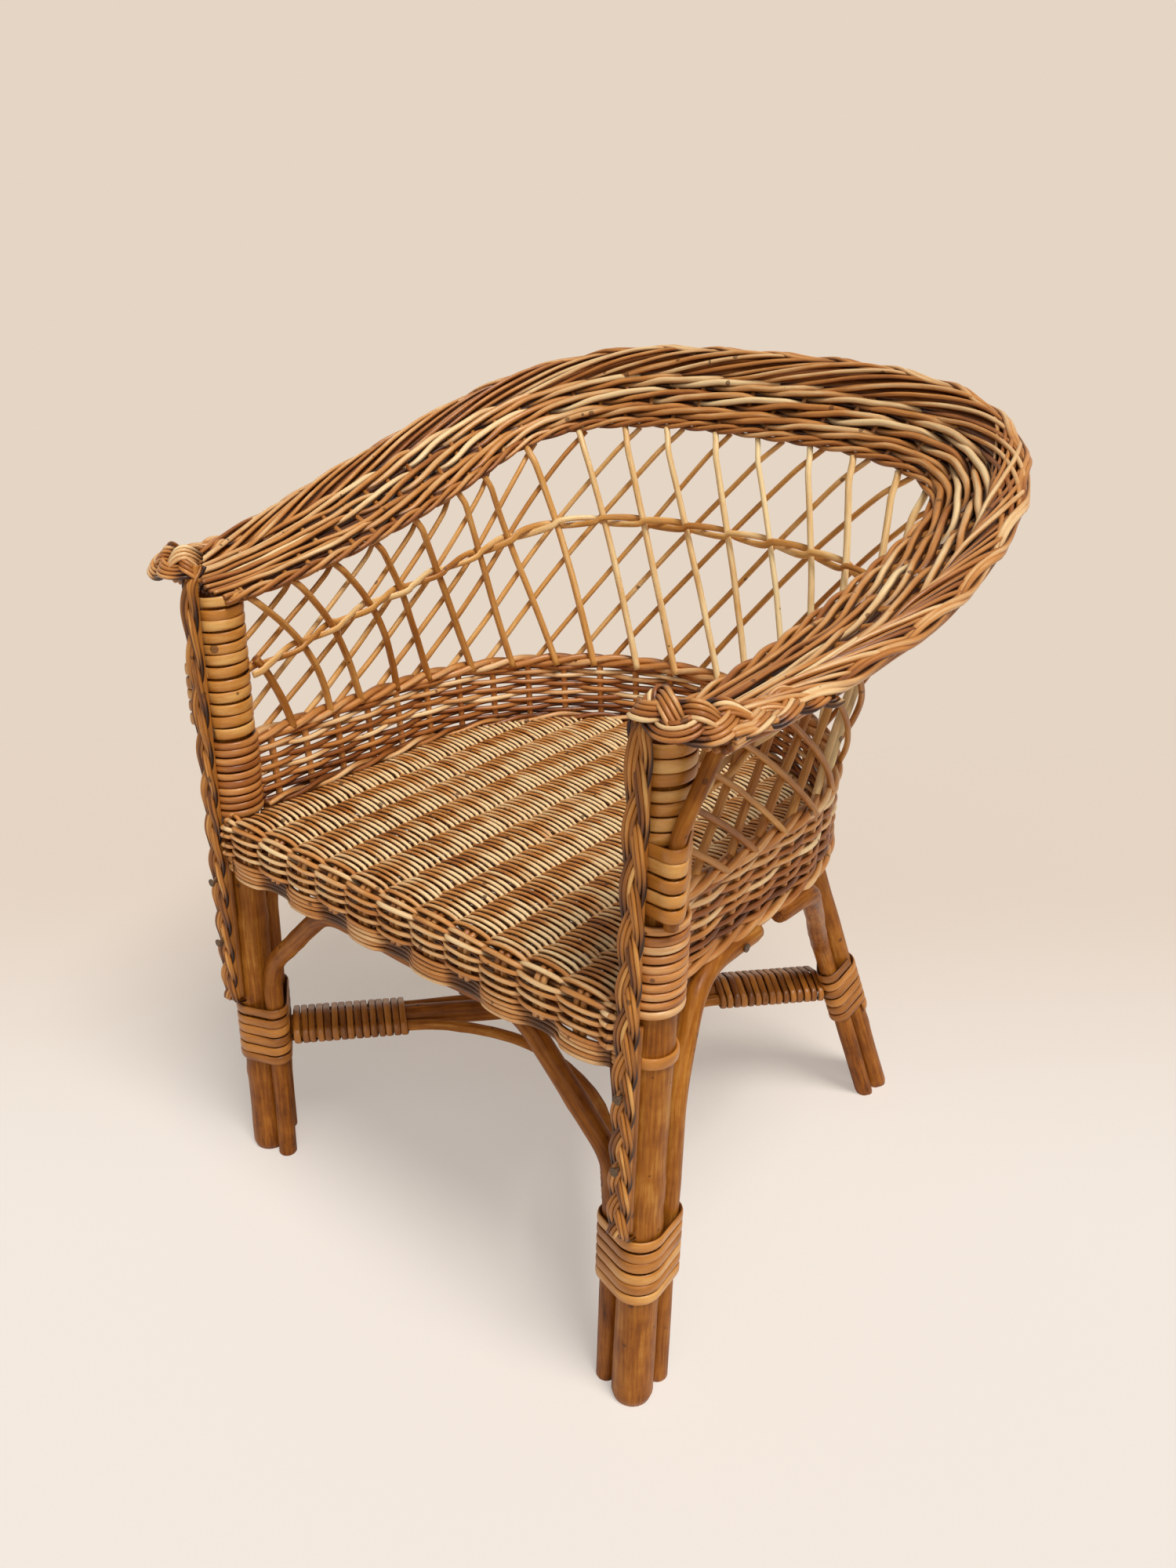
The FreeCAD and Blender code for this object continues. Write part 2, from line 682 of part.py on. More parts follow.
# Wraps on the upper posts, straps at the rail, sticks that prop the arms, front plaits.
for word, side in SIDES:
    axis = post_axis(side, 200) - post_axis(side, 0)
    post = (0, 0, size("post_radius"))
    stick_offset = (size("post_radius") + size("strip_thickness") + size("stick_radius")
                    + 2 * size("fit_gap"))
    forward = math.radians(size("stick_turn"))
    beside = V(side * math.cos(forward), -math.sin(forward), 0) * stick_offset
    stick = (beside.x, beside.y, size("stick_radius"))
    half_strip = size("post_wrap_strip") / 2
    winding("front_%s_upper_wrap" % word, post_axis(side, 0), axis, V(0, 1, 0),
            [post], size("upper_wrap_low_z") + half_strip, "post_wrap_pitch",
            "upper_wrap_turns", "post_wrap_strip", True)
    winding("front_%s_lower_wrap" % word, post_axis(side, 0), axis, V(1, 0, 0),
            [post, stick], size("lower_wrap_low_z") + half_strip, "post_wrap_pitch",
            "lower_wrap_turns", "post_wrap_strip", True)
    winding("front_%s_wall_weavers" % word, post_axis(side, 0), axis, V(0, 1, 0),
            [post], size("weaver_low_z") + size("weaver_radius"), "weaver_pitch",
            "weaver_turns", "weaver_radius", False)
    low = post_axis(side, size("stick_low_z")) + beside
    bend_at = post_axis(side, size("stick_bend_z")) + beside
    tip = post_axis(side, size("stick_top_z")) + V(side * size("stick_top_offset"), 0, 0)
    label = "%s_arm_stick" % word
    node(bent_rod(label, [low, bend_at, tip], [40.0], "stick_radius"), label)
    strap_base = post_axis(side, size("rail_z") - size("strap_height") / 2)
    facing = 0 if side > 0 else 180
    outer = doc.addObject("Part::Cylinder", word + "_strap_outer")
    outer.setExpression("Radius", "sizes.post_radius + sizes.fit_gap + sizes.strip_thickness")
    outer.setExpression("Height", "sizes.strap_height")
    outer.setExpression("Angle", "sizes.strap_angle")
    turn = FreeCAD.Rotation(V(0, 0, 1), facing - size("strap_angle") / 2)
    outer.Placement = FreeCAD.Placement(strap_base, turn_to(axis).multiply(turn))
    inner = doc.addObject("Part::Cylinder", word + "_strap_inner")
    inner.setExpression("Radius", "sizes.post_radius + sizes.fit_gap")
    inner.setExpression("Height", "sizes.strap_height")
    inner.Placement = FreeCAD.Placement(strap_base, turn_to(axis))
    node(bore(outer, inner, "%s_rail_strap" % word), "%s_rail_strap" % word)
    unit = V(axis).normalize()
    plait = doc.addObject("Part::Box", word + "_plait_strip")
    plait.setExpression("Length", "sizes.plait_width")
    plait.setExpression("Width", "sizes.plait_thickness")
    plait.setExpression("Height", "sizes.plait_top_z - sizes.plait_low_z")
    corner = post_axis(side, size("plait_low_z")) + V(-size("plait_width") / 2,
                                                      -plait_offset - size("plait_thickness"), 0)
    plait.Placement = FreeCAD.Placement(corner, turn_to(unit))
    rounded = doc.addObject("Part::Fillet", word + "_plait_round")
    rounded.Base = plait
    doc.recompute()
    long_edges = []
    for number, edge in enumerate(plait.Shape.Edges, start=1):
        if edge.Length > 100:
            long_edges.append((number, 3.0, 3.0))
    rounded.Edges = long_edges
    node(bore(rounded, nails, "%s_post_plait" % word), "%s_post_plait" % word)

# Woven seat: a sheet ridged over its stakes, cut to its plan and rolled down into the apron.
seat_outline = doc.addObject("PartDesign::Body", "seat_outline")
ground = [f for f in seat_outline.Origin.OriginFeatures if f.Role == "XY_Plane"][0]
front_edge = -size("apron_front_y") - size("front_setback")
half = seat_half
centre_y = round_y - size("front_setback")
plan = seat_outline.newObject("Sketcher::SketchObject", "seat_plan")
plan.AttachmentSupport = [(ground, "")]
plan.MapMode = "FlatFace"
plan.AttachmentOffset = FreeCAD.Placement(V(0, 0, seat_low_z), FreeCAD.Rotation())
plan.addGeometry(Part.LineSegment(V(-half, front_edge, 0), V(half, front_edge, 0)), False)
plan.addGeometry(Part.LineSegment(V(half, front_edge, 0), V(half, centre_y, 0)), False)
round_arc = Part.ArcOfCircle(Part.Circle(V(0, centre_y, 0), V(0, 0, 1), half), 0, math.pi)
plan.addGeometry(round_arc, False)
plan.addGeometry(Part.LineSegment(V(-half, centre_y, 0), V(-half, front_edge, 0)), False)
plan.addConstraint(Sketcher.Constraint("Coincident", 0, 2, 1, 1))
plan.addConstraint(Sketcher.Constraint("Tangent", 1, 2, 2, 1))
plan.addConstraint(Sketcher.Constraint("Tangent", 2, 2, 3, 1))
plan.addConstraint(Sketcher.Constraint("Coincident", 3, 2, 0, 1))
plan.addConstraint(Sketcher.Constraint("Horizontal", 0))
plan.addConstraint(Sketcher.Constraint("Vertical", 1))
plan.addConstraint(Sketcher.Constraint("PointOnObject", 2, 3, -2))
radius_rule = plan.addConstraint(Sketcher.Constraint("Radius", 2, half))
plan.setExpression("Constraints[%d]" % radius_rule, "sizes.seat_half_width")
depth_rule = plan.addConstraint(Sketcher.Constraint("DistanceY", 0, 1, 2, 3, centre_y - front_edge))
plan.setExpression("Constraints[%d]" % depth_rule, "sizes.seat_round_y + sizes.apron_front_y")
front_rule = plan.addConstraint(Sketcher.Constraint("DistanceY", 0, 1, -1, 1, -front_edge))
plan.setExpression("Constraints[%d]" % front_rule, "sizes.apron_front_y + sizes.front_setback")
block = seat_outline.newObject("PartDesign::Pad", "seat_block")
block.Profile = plan
block.setExpression("Length", "sizes.seat_thickness")

seat_pitch = 2 * seat_half / size("seat_stakes")
seat_crest = size("seat_thickness") / 2
seat_valley = seat_crest - size("stake_dip")
seat_mid_z = seat_low_z + seat_crest
roll_y = front_edge + size("seat_roll")
roll_z = seat_low_z + size("seat_thickness") - size("seat_roll")


def ridged_line(half_width, edge):
    """Height over the sheet's middle across its width: a flat-topped ridge at each stake."""
    line = [(-half_width, edge)]
    for k in range(int(size("seat_stakes"))):
        low = -seat_half + k * seat_pitch
        middle = low + seat_pitch / 2
        if low > line[-1][0]:
            line.append((low, seat_valley if k else edge))
        line.append((middle - size("stake_flat") / 2, seat_crest))
        line.append((middle + size("stake_flat") / 2, seat_crest))
    if half_width > seat_half:
        line.append((seat_half, edge))
    line.append((half_width, edge))
    return line


def ridged_section(name, half_width):
    """Cross-section of the sheet, whose underside is level along the edges that rest on the hoop."""
    upper = [V(x, roll_y, seat_mid_z + height) for x, height in ridged_line(half_width, seat_valley)]
    lower = [V(x, roll_y, seat_mid_z - height) for x, height in ridged_line(half_width, seat_crest)]
    section = doc.addObject("Part::Feature", name)
    section.Shape = Part.Face(Part.makePolygon(upper + lower[::-1] + upper[:1]))
    return section


def drawn_out(name, section, way, length):
    solid = doc.addObject("Part::Extrusion", name)
    solid.Base = section
    solid.DirMode = "Custom"
    solid.Dir = way
    solid.LengthFwd = length
    solid.Solid = True
    return solid


panel = doc.addObject("Part::Common", "seat_panel")
panel.Base = drawn_out("seat_sheet", ridged_section("seat_section", seat_half), V(0, 1, 0),
                       centre_y + seat_half - roll_y)
panel.Tool = seat_outline
apron_half = post_foot_x - size("plait_width") / 2 - size("apron_plait_gap")
roll = doc.addObject("Part::Revolution", "front_roll")
roll.Source = ridged_section("roll_section", apron_half)
roll.Base = V(0, roll_y, roll_z)
roll.Axis = V(1, 0, 0)
roll.Angle = 90
roll.Solid = True
apron_section = ridged_section("apron_section", apron_half)
apron_section.Shape = apron_section.Shape.rotated(V(0, roll_y, roll_z), V(1, 0, 0), 90)
apron = drawn_out("apron", apron_section, V(0, 0, -1), roll_z - size("apron_bottom_z"))
seat = doc.addObject("Part::MultiFuse", "seat")
seat.Shapes = [panel, roll, apron]
node(seat, "woven_seat")

# Low woven wall: a U in plan that opens slightly towards its top, swelling at each stake.


def wall_outline(name, inner_half, middle_y, z):
    crest = size("wall_thickness") / 2
    valley = crest - size("stake_dip")
    half_width = inner_half + crest
    straight = middle_y - size("wall_front_y")
    total = 2 * straight + math.pi * half_width
    stakes = int(size("wall_stakes"))
    step = total / stakes

    def spot(distance, out):
        reach = half_width + out
        if distance < straight:
            return at(-reach, size("wall_front_y") + distance, z)
        if distance > total - straight:
            return at(reach, size("wall_front_y") + total - distance, z)
        turn = (distance - straight) / half_width
        return at(-reach * math.cos(turn), middle_y + reach * math.sin(turn), z)

    outer = []
    inner = []
    for k in range(stakes):
        low = k * step
        middle = low + step / 2
        high = low + step
        outer.append(Part.Arc(spot(low, valley), spot(middle, crest), spot(high, valley)).toShape())
        inner.append(Part.Arc(spot(high, -valley), spot(middle, -crest), spot(low, -valley)).toShape())
    right_end = Part.LineSegment(spot(total, valley), spot(total, -valley)).toShape()
    left_end = Part.LineSegment(spot(0, -valley), spot(0, valley)).toShape()
    outline = doc.addObject("Part::Feature", name)
    outline.Shape = Part.Wire(outer + [right_end] + inner[::-1] + [left_end])
    return outline


flare = size("wall_flare")
wall_top_half = wall_half + flare
wall_top_middle = round_y - 2 * flare
wall = doc.addObject("Part::Loft", "woven_wall")
wall.Sections = [wall_outline("wall_foot", wall_half, round_y, size("wall_bottom_z")),
                 wall_outline("wall_crest", wall_top_half, wall_top_middle, wall_top_z)]
wall.Solid = True
wall.Ruled = True
node(wall, "woven_wall")

# Curves of the rim's upper face, each a U that rises towards the back.


class RoundedU:
    """U-shaped curve met by its share of the length, 0 at the left front, 1 at the right front."""

    def __init__(self, half_width, middle_y, back, power, taper, front_y, front_z, back_z, rise):
        half = []
        steps = 160
        straight = 60
        for k in range(straight):
            y = front_y + (middle_y - front_y) * k / straight
            half.append((half_width + taper * (middle_y - y), y))
        for k in range(steps + 1):
            turn = math.pi / 2 * k / steps
            x = half_width * max(math.cos(turn), 0.0) ** (2 / power)
            half.append((x, middle_y + back * math.sin(turn) ** (2 / power)))
        depth = middle_y + back - front_y
        self.points = []
        for x, y in half:
            z = front_z + (back_z - front_z) * ((y - front_y) / depth) ** rise
            self.points.append(at(-x, y, z))
        for x, y in reversed(half[:-1]):
            z = front_z + (back_z - front_z) * ((y - front_y) / depth) ** rise
            self.points.append(at(x, y, z))
        self.lengths = [0.0]
        for before, after in zip(self.points, self.points[1:]):
            self.lengths.append(self.lengths[-1] + (after - before).Length)

    def spot(self, share):
        goal = min(max(share, 0.0), 1.0) * self.lengths[-1]
        low = 0
        high = len(self.lengths) - 1
        while high - low > 1:
            middle = (low + high) // 2
            if self.lengths[middle] <= goal:
                low = middle
            else:
                high = middle
        part = (goal - self.lengths[low]) / (self.lengths[high] - self.lengths[low])
        return mix(self.points[low], self.points[high], part)


rim_inner = RoundedU(rim_inner_half, size("rim_inner_round_y"), size("rim_inner_back"),
                     2.86, -0.03, 1.0, size("rim_inner_front_z"), size("rim_inner_back_z"), 1.69)
rim_outer = RoundedU(rim_outer_half, size("rim_outer_round_y"), size("rim_outer_back"),
                     3.04, -0.086, -8.0, size("rim_outer_front_z"), size("rim_outer_back_z"), 1.757)


def rim_frame(share):
    """Inner edge, width, direction across and upward normal of the rim at a share of its length."""
    near = rim_inner.spot(share)
    across = rim_outer.spot(share) - near
    wide = across.Length
    across = V(across).normalize()
    ahead = rim_inner.spot(share + 0.01) - rim_inner.spot(share - 0.01)
    up = across.cross(V(ahead).normalize()).normalize()
    if up.z < 0:
        up = up * -1
    return near, wide, across, up


border_room = 2 * size("border_radius") + 3 * size("fit_gap")
RIM_STATIONS = 32
rim_sections = []
for k in range(RIM_STATIONS + 1):
    near, wide, across, up = rim_frame(0.004 + 0.992 * k / RIM_STATIONS)
    far = near + across * (wide - border_room)
    drop = up * -size("rim_thickness")
    rim_sections.append(Part.makePolygon([near, far, far + drop, near + drop, near]))
rim = doc.addObject("Part::Feature", "rim_weave")
rim.Shape = Part.makeLoft(rim_sections, True, False)
node(rim, "rim_weave")


def border_spot(share):
    near, wide, across, up = rim_frame(share)
    return near + across * (wide - size("border_radius")) - up * (size("rim_thickness") / 2)


BORDER_STATIONS = 30
border_points = []
border_ways = []
for k in range(BORDER_STATIONS + 1):
    share = 0.02 + 0.96 * k / BORDER_STATIONS
    border_points.append(border_spot(share))
    border_ways.append((border_spot(share + 0.004) - border_spot(share - 0.004)).normalize())
turn_y = -9.5 - size("border_radius")
turn_z = size("rim_outer_front_z") - 7
for side, index in ((-1, 0), (1, len(border_points))):
    inward = V(-side, 0, -0.06).normalize()
    turned = [at(side * (rim_outer_half - size("border_turn_inset")), turn_y, turn_z),
              at(side * (rim_outer_half - size("border_end_inset")), turn_y, turn_z - 1.4)]
    if side < 0:
        border_points = turned[::-1] + border_points
        border_ways = [inward * -1, inward * -1] + border_ways
    else:
        border_points = border_points + turned
        border_ways = border_ways + [inward, inward]
border = swept_rod("rim_border", smooth_edges(border_points, border_ways), "border_radius")
node(border, "rim_border")

# Lattice between the wall's crest and the rim: two leaning sets and one level row.
crest_half = wall_top_half + size("wall_thickness") / 2
crest = RoundedU(crest_half, wall_top_middle, crest_half, 2.0, 0.0, size("wall_front_y") + 2,
                 wall_top_z, wall_top_z, 1.0)
hem = RoundedU(rim_inner_half + 4, size("rim_inner_round_y"), size("rim_inner_back") + 3,
               2.86, -0.02, size("wall_front_y") + 2, size("rim_inner_front_z") + 2,
               size("rim_inner_back_z") + 3, 1.69)


def lattice_spot(share, height, offset):
    """Point of the lattice: share round the chair, height from crest to rim, offset outward."""
    low = crest.spot(share)
    high = hem.spot(share)
    ahead = mix(crest.spot(share + 0.01), hem.spot(share + 0.01), height)
    ahead = ahead - mix(crest.spot(share - 0.01), hem.spot(share - 0.01), height)
    out = V(high - low).cross(ahead).normalize()
    return mix(low, high, height) + out * offset


def clear_of_rim(point, share):
    """Distance from a point to the rim's section at a share of its length."""
    near, wide, across, up = rim_frame(share)
    gap = point - near
    over = gap.dot(up)
    above = max(over, -size("rim_thickness") - over, 0.0)
    before = max(-gap.dot(across), 0.0)
    return math.hypot(above, before)


def lattice_rod(start_share, shift, offset):
    """One leaning rod as a bent round bar, or None where it would miss the lattice."""
    reach = size("lattice_radius") + size("fit_gap")
    low = 0.0
    high = 1.0
    if shift > 0:
        low = max(low, -start_share / shift)
        high = min(high, (1 - start_share) / shift)
    else:
        low = max(low, (1 - start_share) / shift)
        high = min(high, start_share / -shift)
    foot = lattice_spot(start_share + shift * low, low, offset)
    run = lattice_spot(start_share + shift * (low + 0.03), low + 0.03, offset) - foot
    lean = math.hypot(run.x, run.y) / run.Length
    low = max(low, (3 * size("fit_gap") + size("lattice_radius") * lean) * 0.03 / run.z)
    while high > low:
        tip = lattice_spot(start_share + shift * high, high, offset)
        if clear_of_rim(tip, start_share + shift * high) >= reach:
            break
        high -= 0.005
    if high - low < 0.15:
        return None
    points = []
    ways = []
    for k in range(4):
        height = low + (high - low) * k / 3
        points.append(lattice_spot(start_share + shift * height, height, offset))
        before = lattice_spot(start_share + shift * (height - 0.004), height - 0.004, offset)
        after = lattice_spot(start_share + shift * (height + 0.004), height + 0.004, offset)
        ways.append((after - before).normalize())
    wire = Part.Wire(smooth_edges(points, ways))
    circle = Part.Wire(Part.makeCircle(size("lattice_radius"), points[0], ways[0]))
    return wire.makePipeShell([circle], True, False)


def lattice_set(label, phase, shift, offset):
    rods = []
    pitch = size("lattice_pitch")
    first = int((phase + abs(shift)) / pitch)
    for k in range(-first, int((1 + abs(shift) - phase) / pitch) + 1):
        start = phase + k * pitch
        inside = (start, start + shift)
        if max(inside) <= 0.01 or min(inside) >= 0.99:
            continue
        rod = lattice_rod(start, shift, offset)
        if rod is not None:
            rods.append(rod)
    lattice = doc.addObject("Part::Feature", label)
    lattice.Shape = Part.makeCompound(rods)
    print("%s rods %d" % (label, len(rods)))
    return node(lattice, label)


layer = size("lattice_radius") + 0.8 * size("fit_gap")
lattice_set("inner_lattice_rods", 0.497, size("inner_shift"), -layer)
lattice_set("outer_lattice_rods", 0.393, size("outer_shift"), layer)

row_points = []
row_ways = []
row_offset = -(2 * layer + size("row_radius") + 0.5 * size("fit_gap"))
ROW_STATIONS = 16
for k in range(ROW_STATIONS + 1):
    share = 0.004 + 0.992 * k / ROW_STATIONS
    row_points.append(lattice_spot(share, size("row_height"), row_offset))
    before = lattice_spot(share - 0.004, size("row_height"), row_offset)
    after = lattice_spot(share + 0.004, size("row_height"), row_offset)
    row_ways.append((after - before).normalize())
row = swept_rod("lattice_row", smooth_edges(row_points, row_ways), "row_radius")
node(row, "lattice_row")

doc.recompute()
failed = []
for obj in doc.Objects:
    if "Invalid" in obj.State or "Error" in obj.State:
        failed.append(obj.Label)
for obj in nodes:
    if obj.Shape.isNull() or not obj.Shape.isValid() or not obj.Shape.Solids:
        failed.append(obj.Label)
if failed:
    raise RuntimeError("pieces that failed: " + ", ".join(failed))

os.makedirs("parts", exist_ok=True)
whole = FreeCAD.BoundBox()
for obj in nodes:
    obj.Shape.exportStep("parts/%s.step" % obj.Label)
    whole.add(obj.Shape.BoundBox)
print("nodes %d, box X %.1f %.1f Y %.1f %.1f Z %.1f %.1f" % (
    len(nodes), whole.XMin, whole.XMax, whole.YMin, whole.YMax, whole.ZMin, whole.ZMax))
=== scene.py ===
import math
import bpy
import numpy as np
from mathutils import Matrix


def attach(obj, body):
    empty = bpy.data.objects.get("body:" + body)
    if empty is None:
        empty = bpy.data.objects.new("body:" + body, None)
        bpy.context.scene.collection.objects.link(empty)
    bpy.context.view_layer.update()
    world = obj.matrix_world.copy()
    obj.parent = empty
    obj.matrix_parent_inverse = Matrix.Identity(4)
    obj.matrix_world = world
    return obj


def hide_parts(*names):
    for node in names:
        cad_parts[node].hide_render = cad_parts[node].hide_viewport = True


# A child's tub chair of varnished willow. Shapes are worked out in millimetres, with y counted
# from the front feet, SETBACK before the frame's origin, and moved to the frame's metres when a
# mesh is made. Tints run from 0, dark, to 1, pale.

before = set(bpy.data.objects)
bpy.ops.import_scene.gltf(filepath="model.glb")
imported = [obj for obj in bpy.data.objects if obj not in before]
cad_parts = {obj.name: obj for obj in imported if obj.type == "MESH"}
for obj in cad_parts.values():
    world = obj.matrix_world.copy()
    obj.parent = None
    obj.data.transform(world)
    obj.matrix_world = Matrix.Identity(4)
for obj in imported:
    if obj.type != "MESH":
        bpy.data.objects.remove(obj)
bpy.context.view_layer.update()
rng = np.random.default_rng(20)

SETBACK = 171.6
MM = 0.001
UP = np.array([0.0, 0.0, 1.0])
SIDES = (("left", -1), ("right", 1))

# Frame of poles, shared by several sections
POST_R, POST_X, POST_SPLAY, POST_LEAN, POST_TOP = 12.5, 171.0, 1.5, 10.0, 413.2
REAR_R, REAR_FOOT, REAR_TOP, REAR_TOP_Z = 9.0, (139.0, 355.0), (85.0, 285.0), 254.0
BRACE_R, FIT = 6.5, 0.4
FRONT_BRACE_ANGLE, REAR_BRACE_ANGLE, BACK_ARCH_ANGLE = 78.0, 270.0, 150.0
RAIL_Z, ROUND_Y = 245.0, 154.0
POLE_R, BOW_R = 8.0, 4.0
STICK_R, STICK_OUT, STICK_TURN = 4.0, 19.5, 35.0


def unit(v):
    v = np.asarray(v, float)
    return v / np.linalg.norm(v, axis=-1, keepdims=True)


def ease(low, high, value):
    t = np.clip((np.asarray(value, float) - low) / (high - low), 0.0, 1.0)
    return t * t * (3 - 2 * t)


def sharpened(wave, power):
    """A wave that dwells at its crests, for a power under 1."""
    return np.sign(wave) * np.abs(wave) ** power


def points(*columns):
    return np.stack(np.broadcast_arrays(*[np.asarray(c, float) for c in columns]), axis=-1)


def lengths(path):
    return np.concatenate([[0.0], np.cumsum(np.linalg.norm(np.diff(path[:, :3], axis=0), axis=1))])


def along(path, distance):
    """Points, and what goes with them in further columns, at given distances along a path."""
    run = lengths(path)
    return np.stack([np.interp(distance, run, column) for column in path.T], axis=-1)


def resample(path, step):
    total = lengths(path)[-1]
    return along(path, np.linspace(0.0, total, max(3, int(total / step) + 1)))


NOISE_PARTS = ((1.0, 0.6), (2.3, 0.3), (4.1, 0.15))


def slow_noise(distance, wave, size):
    """Seeded gentle wander along a length."""
    phase = rng.uniform(0, 2 * math.pi, 3)
    value = np.zeros_like(distance)
    for k, (rate, part) in enumerate(NOISE_PARTS):
        value = value + part * np.sin(2 * math.pi * rate * distance / wave + phase[k])
    return value * size


def varied(value, run, spread, wave, size):
    """A value that differs from rod to rod, and slowly along each."""
    return value + rng.normal(0, spread) + slow_noise(run, wave, size)


def uneven(radius, run, wave, size):
    return radius * (1 + slow_noise(run, wave, size))


def curve_through(knots, each=14):
    """Smooth path through a few points."""
    knots = np.asarray(knots, float)
    padded = np.vstack([2 * knots[0] - knots[1], knots, 2 * knots[-1] - knots[-2]])
    out = []
    t = np.linspace(0, 1, each, endpoint=False)[:, None]
    for k in range(1, len(padded) - 2):
        a, b, c, d = padded[k - 1:k + 3]
        out.append(0.5 * (2 * b + (c - a) * t + (2 * a - 5 * b + 4 * c - d) * t ** 2
                          + (3 * b - a - 3 * c + d) * t ** 3))
    return np.vstack(out + [knots[-1:]])


ARC_POINTS, BENT_STEP = 14, 3.0


def bent_path(corners, bends):
    """Straight runs joined by tangent arcs."""
    corners = [np.asarray(c, float) for c in corners]
    out = [corners[0]]
    for before, corner, after, bend in zip(corners, corners[1:], corners[2:], bends):
        a, b = unit(before - corner), unit(after - corner)
        half = math.acos(np.clip(np.dot(a, b), -1, 1)) / 2
        reach = bend / math.tan(half)
        centre = corner + unit(a + b) * bend / math.sin(half)
        start, stop = corner + a * reach, corner + b * reach
        u = unit(start - centre)
        v = unit((stop - centre) - u * np.dot(stop - centre, u))
        for turn in np.linspace(0, math.pi - 2 * half, ARC_POINTS):
            out.append(centre + bend * (u * math.cos(turn) + v * math.sin(turn)))
    out.append(corners[-1])
    return resample(np.array(out), BENT_STEP)


def add_object(name, data):
    obj = bpy.data.objects.new(name, data)
    bpy.context.collection.objects.link(obj)
    return obj


GRAIN_ALONG, GRAIN_ACROSS, GRAIN_SPREAD, GRAIN_END = 0.02, 0.3, 40, 9
# Painted shade on round rods' flanks and the least of it kept on faces turned away; then the rod ends' tint
# and shade
FLANK_SHADE, BACK_LIT, END_DARKER, END_SHADE = 0.4, 0.62, 0.25, 0.7


class Weave:
    """Gathers rods into one mesh and keeps each point's tint, painted shade and place on its rod."""

    def __init__(self):
        self.co, self.quads, self.tris = [], [], []
        self.tint, self.shade, self.grain = [], [], []
        self.count = 0

    def rod(self, path, radius, face=UP, sides=8, tint=0.5, width=None, mid=None, reach=1.0,
            floor=False, boxy=1.0, layered=False, flank_shade=FLANK_SHADE):
        """Round rod, or a strip where width is given, with face the way its thickness lies.

        With mid, a line that the rod swings about, points get painted shade by their distance from it.
        """
        path = np.asarray(path, float)
        n = len(path)
        ahead = unit(np.gradient(path, axis=0))
        face = np.broadcast_to(np.asarray(face, float), path.shape)
        lift = unit(face - ahead * np.sum(face * ahead, axis=1, keepdims=True))
        side = np.cross(ahead, lift)
        turn = np.linspace(0, 2 * math.pi, sides, endpoint=False)
        c, s = sharpened(np.cos(turn), boxy), sharpened(np.sin(turn), boxy)
        high = np.broadcast_to(radius, n)[:, None, None]
        wide = high if width is None else np.broadcast_to(width, n)[:, None, None] / 2
        ring = path[:, None] + lift[:, None] * c[:, None] * high + side[:, None] * s[:, None] * wide
        tints = np.broadcast_to(tint, n)[:, None].repeat(sides, 1)
        painted_shade = np.ones((n, sides))
        if mid is not None:
            painted_shade = np.sum((ring - mid[:, None]) * face[:, None], axis=2) / reach
            painted_shade = 0.5 + 0.5 * painted_shade * c if layered else np.maximum(np.abs(painted_shade), -BACK_LIT * c)
            if width is None:
                painted_shade = painted_shade * (1 - flank_shade * (1 - np.abs(c)))
        offset = rng.uniform(0, GRAIN_SPREAD)
        girth = GRAIN_ACROSS * float(np.mean(high))
        grain = points(girth * np.cos(turn), girth * np.sin(turn),
                       lengths(path)[:, None] * GRAIN_ALONG + offset)
        if floor:
            ring[..., 2] = np.maximum(ring[..., 2], 0.0)
        around = np.arange(sides)
        after = (around + 1) % sides
        low = self.count + np.arange(n - 1)[:, None] * sides
        high = low + sides
        self.quads.append(np.stack([low + around, low + after, high + after, high + around],
                                   axis=-1).reshape(-1, 4))
        cap = np.full(sides, self.count + n * sides)
        end = self.count + (n - 1) * sides
        self.tris.append(np.stack([cap, self.count + after, self.count + around], axis=-1))
        self.tris.append(np.stack([cap + 1, end + around, end + after], axis=-1))
        caps = np.array([ring[0].mean(axis=0), ring[-1].mean(axis=0)])
        cap_grain = [[0, 0, offset], [0, 0, offset + GRAIN_END]]
        self.co.append(np.vstack([ring.reshape(-1, 3), caps]))
        self.tint.append(np.concatenate([tints.ravel(), tints[[0, -1], 0] - END_DARKER]))
        self.shade.append(np.concatenate([painted_shade.ravel(), [END_SHADE, END_SHADE]]))
        self.grain.append(np.vstack([grain.reshape(-1, 3), cap_grain]))
        self.count += n * sides + 2

    def piece(self, name, material, slot, *nodes):
        """Makes the mesh in the frame's metres, riding on the chair."""
        co = np.vstack(self.co) - np.array([0.0, SETBACK, 0.0])
        mesh = bpy.data.meshes.new(name)
        faces = np.vstack(self.quads).tolist() + np.vstack(self.tris).tolist()
        mesh.from_pydata((co * MM).tolist(), [], faces)
        mesh.polygons.foreach_set("use_smooth", np.ones(len(faces), bool))
        for label, values in (("tint", self.tint), ("shade", self.shade)):
            layer = mesh.attributes.new(label, "FLOAT", "POINT")
            layer.data.foreach_set("value", np.clip(np.concatenate(values), 0, 1).astype(np.float32))
        layer = mesh.attributes.new("grain", "FLOAT_VECTOR", "POINT")
        layer.data.foreach_set("vector", np.vstack(self.grain).astype(np.float32).ravel())
        mesh.update()
        obj = add_object(name, mesh)
        mesh.materials.append(material)
        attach(obj, "root")
        if nodes:
            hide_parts(*nodes)


# Materials


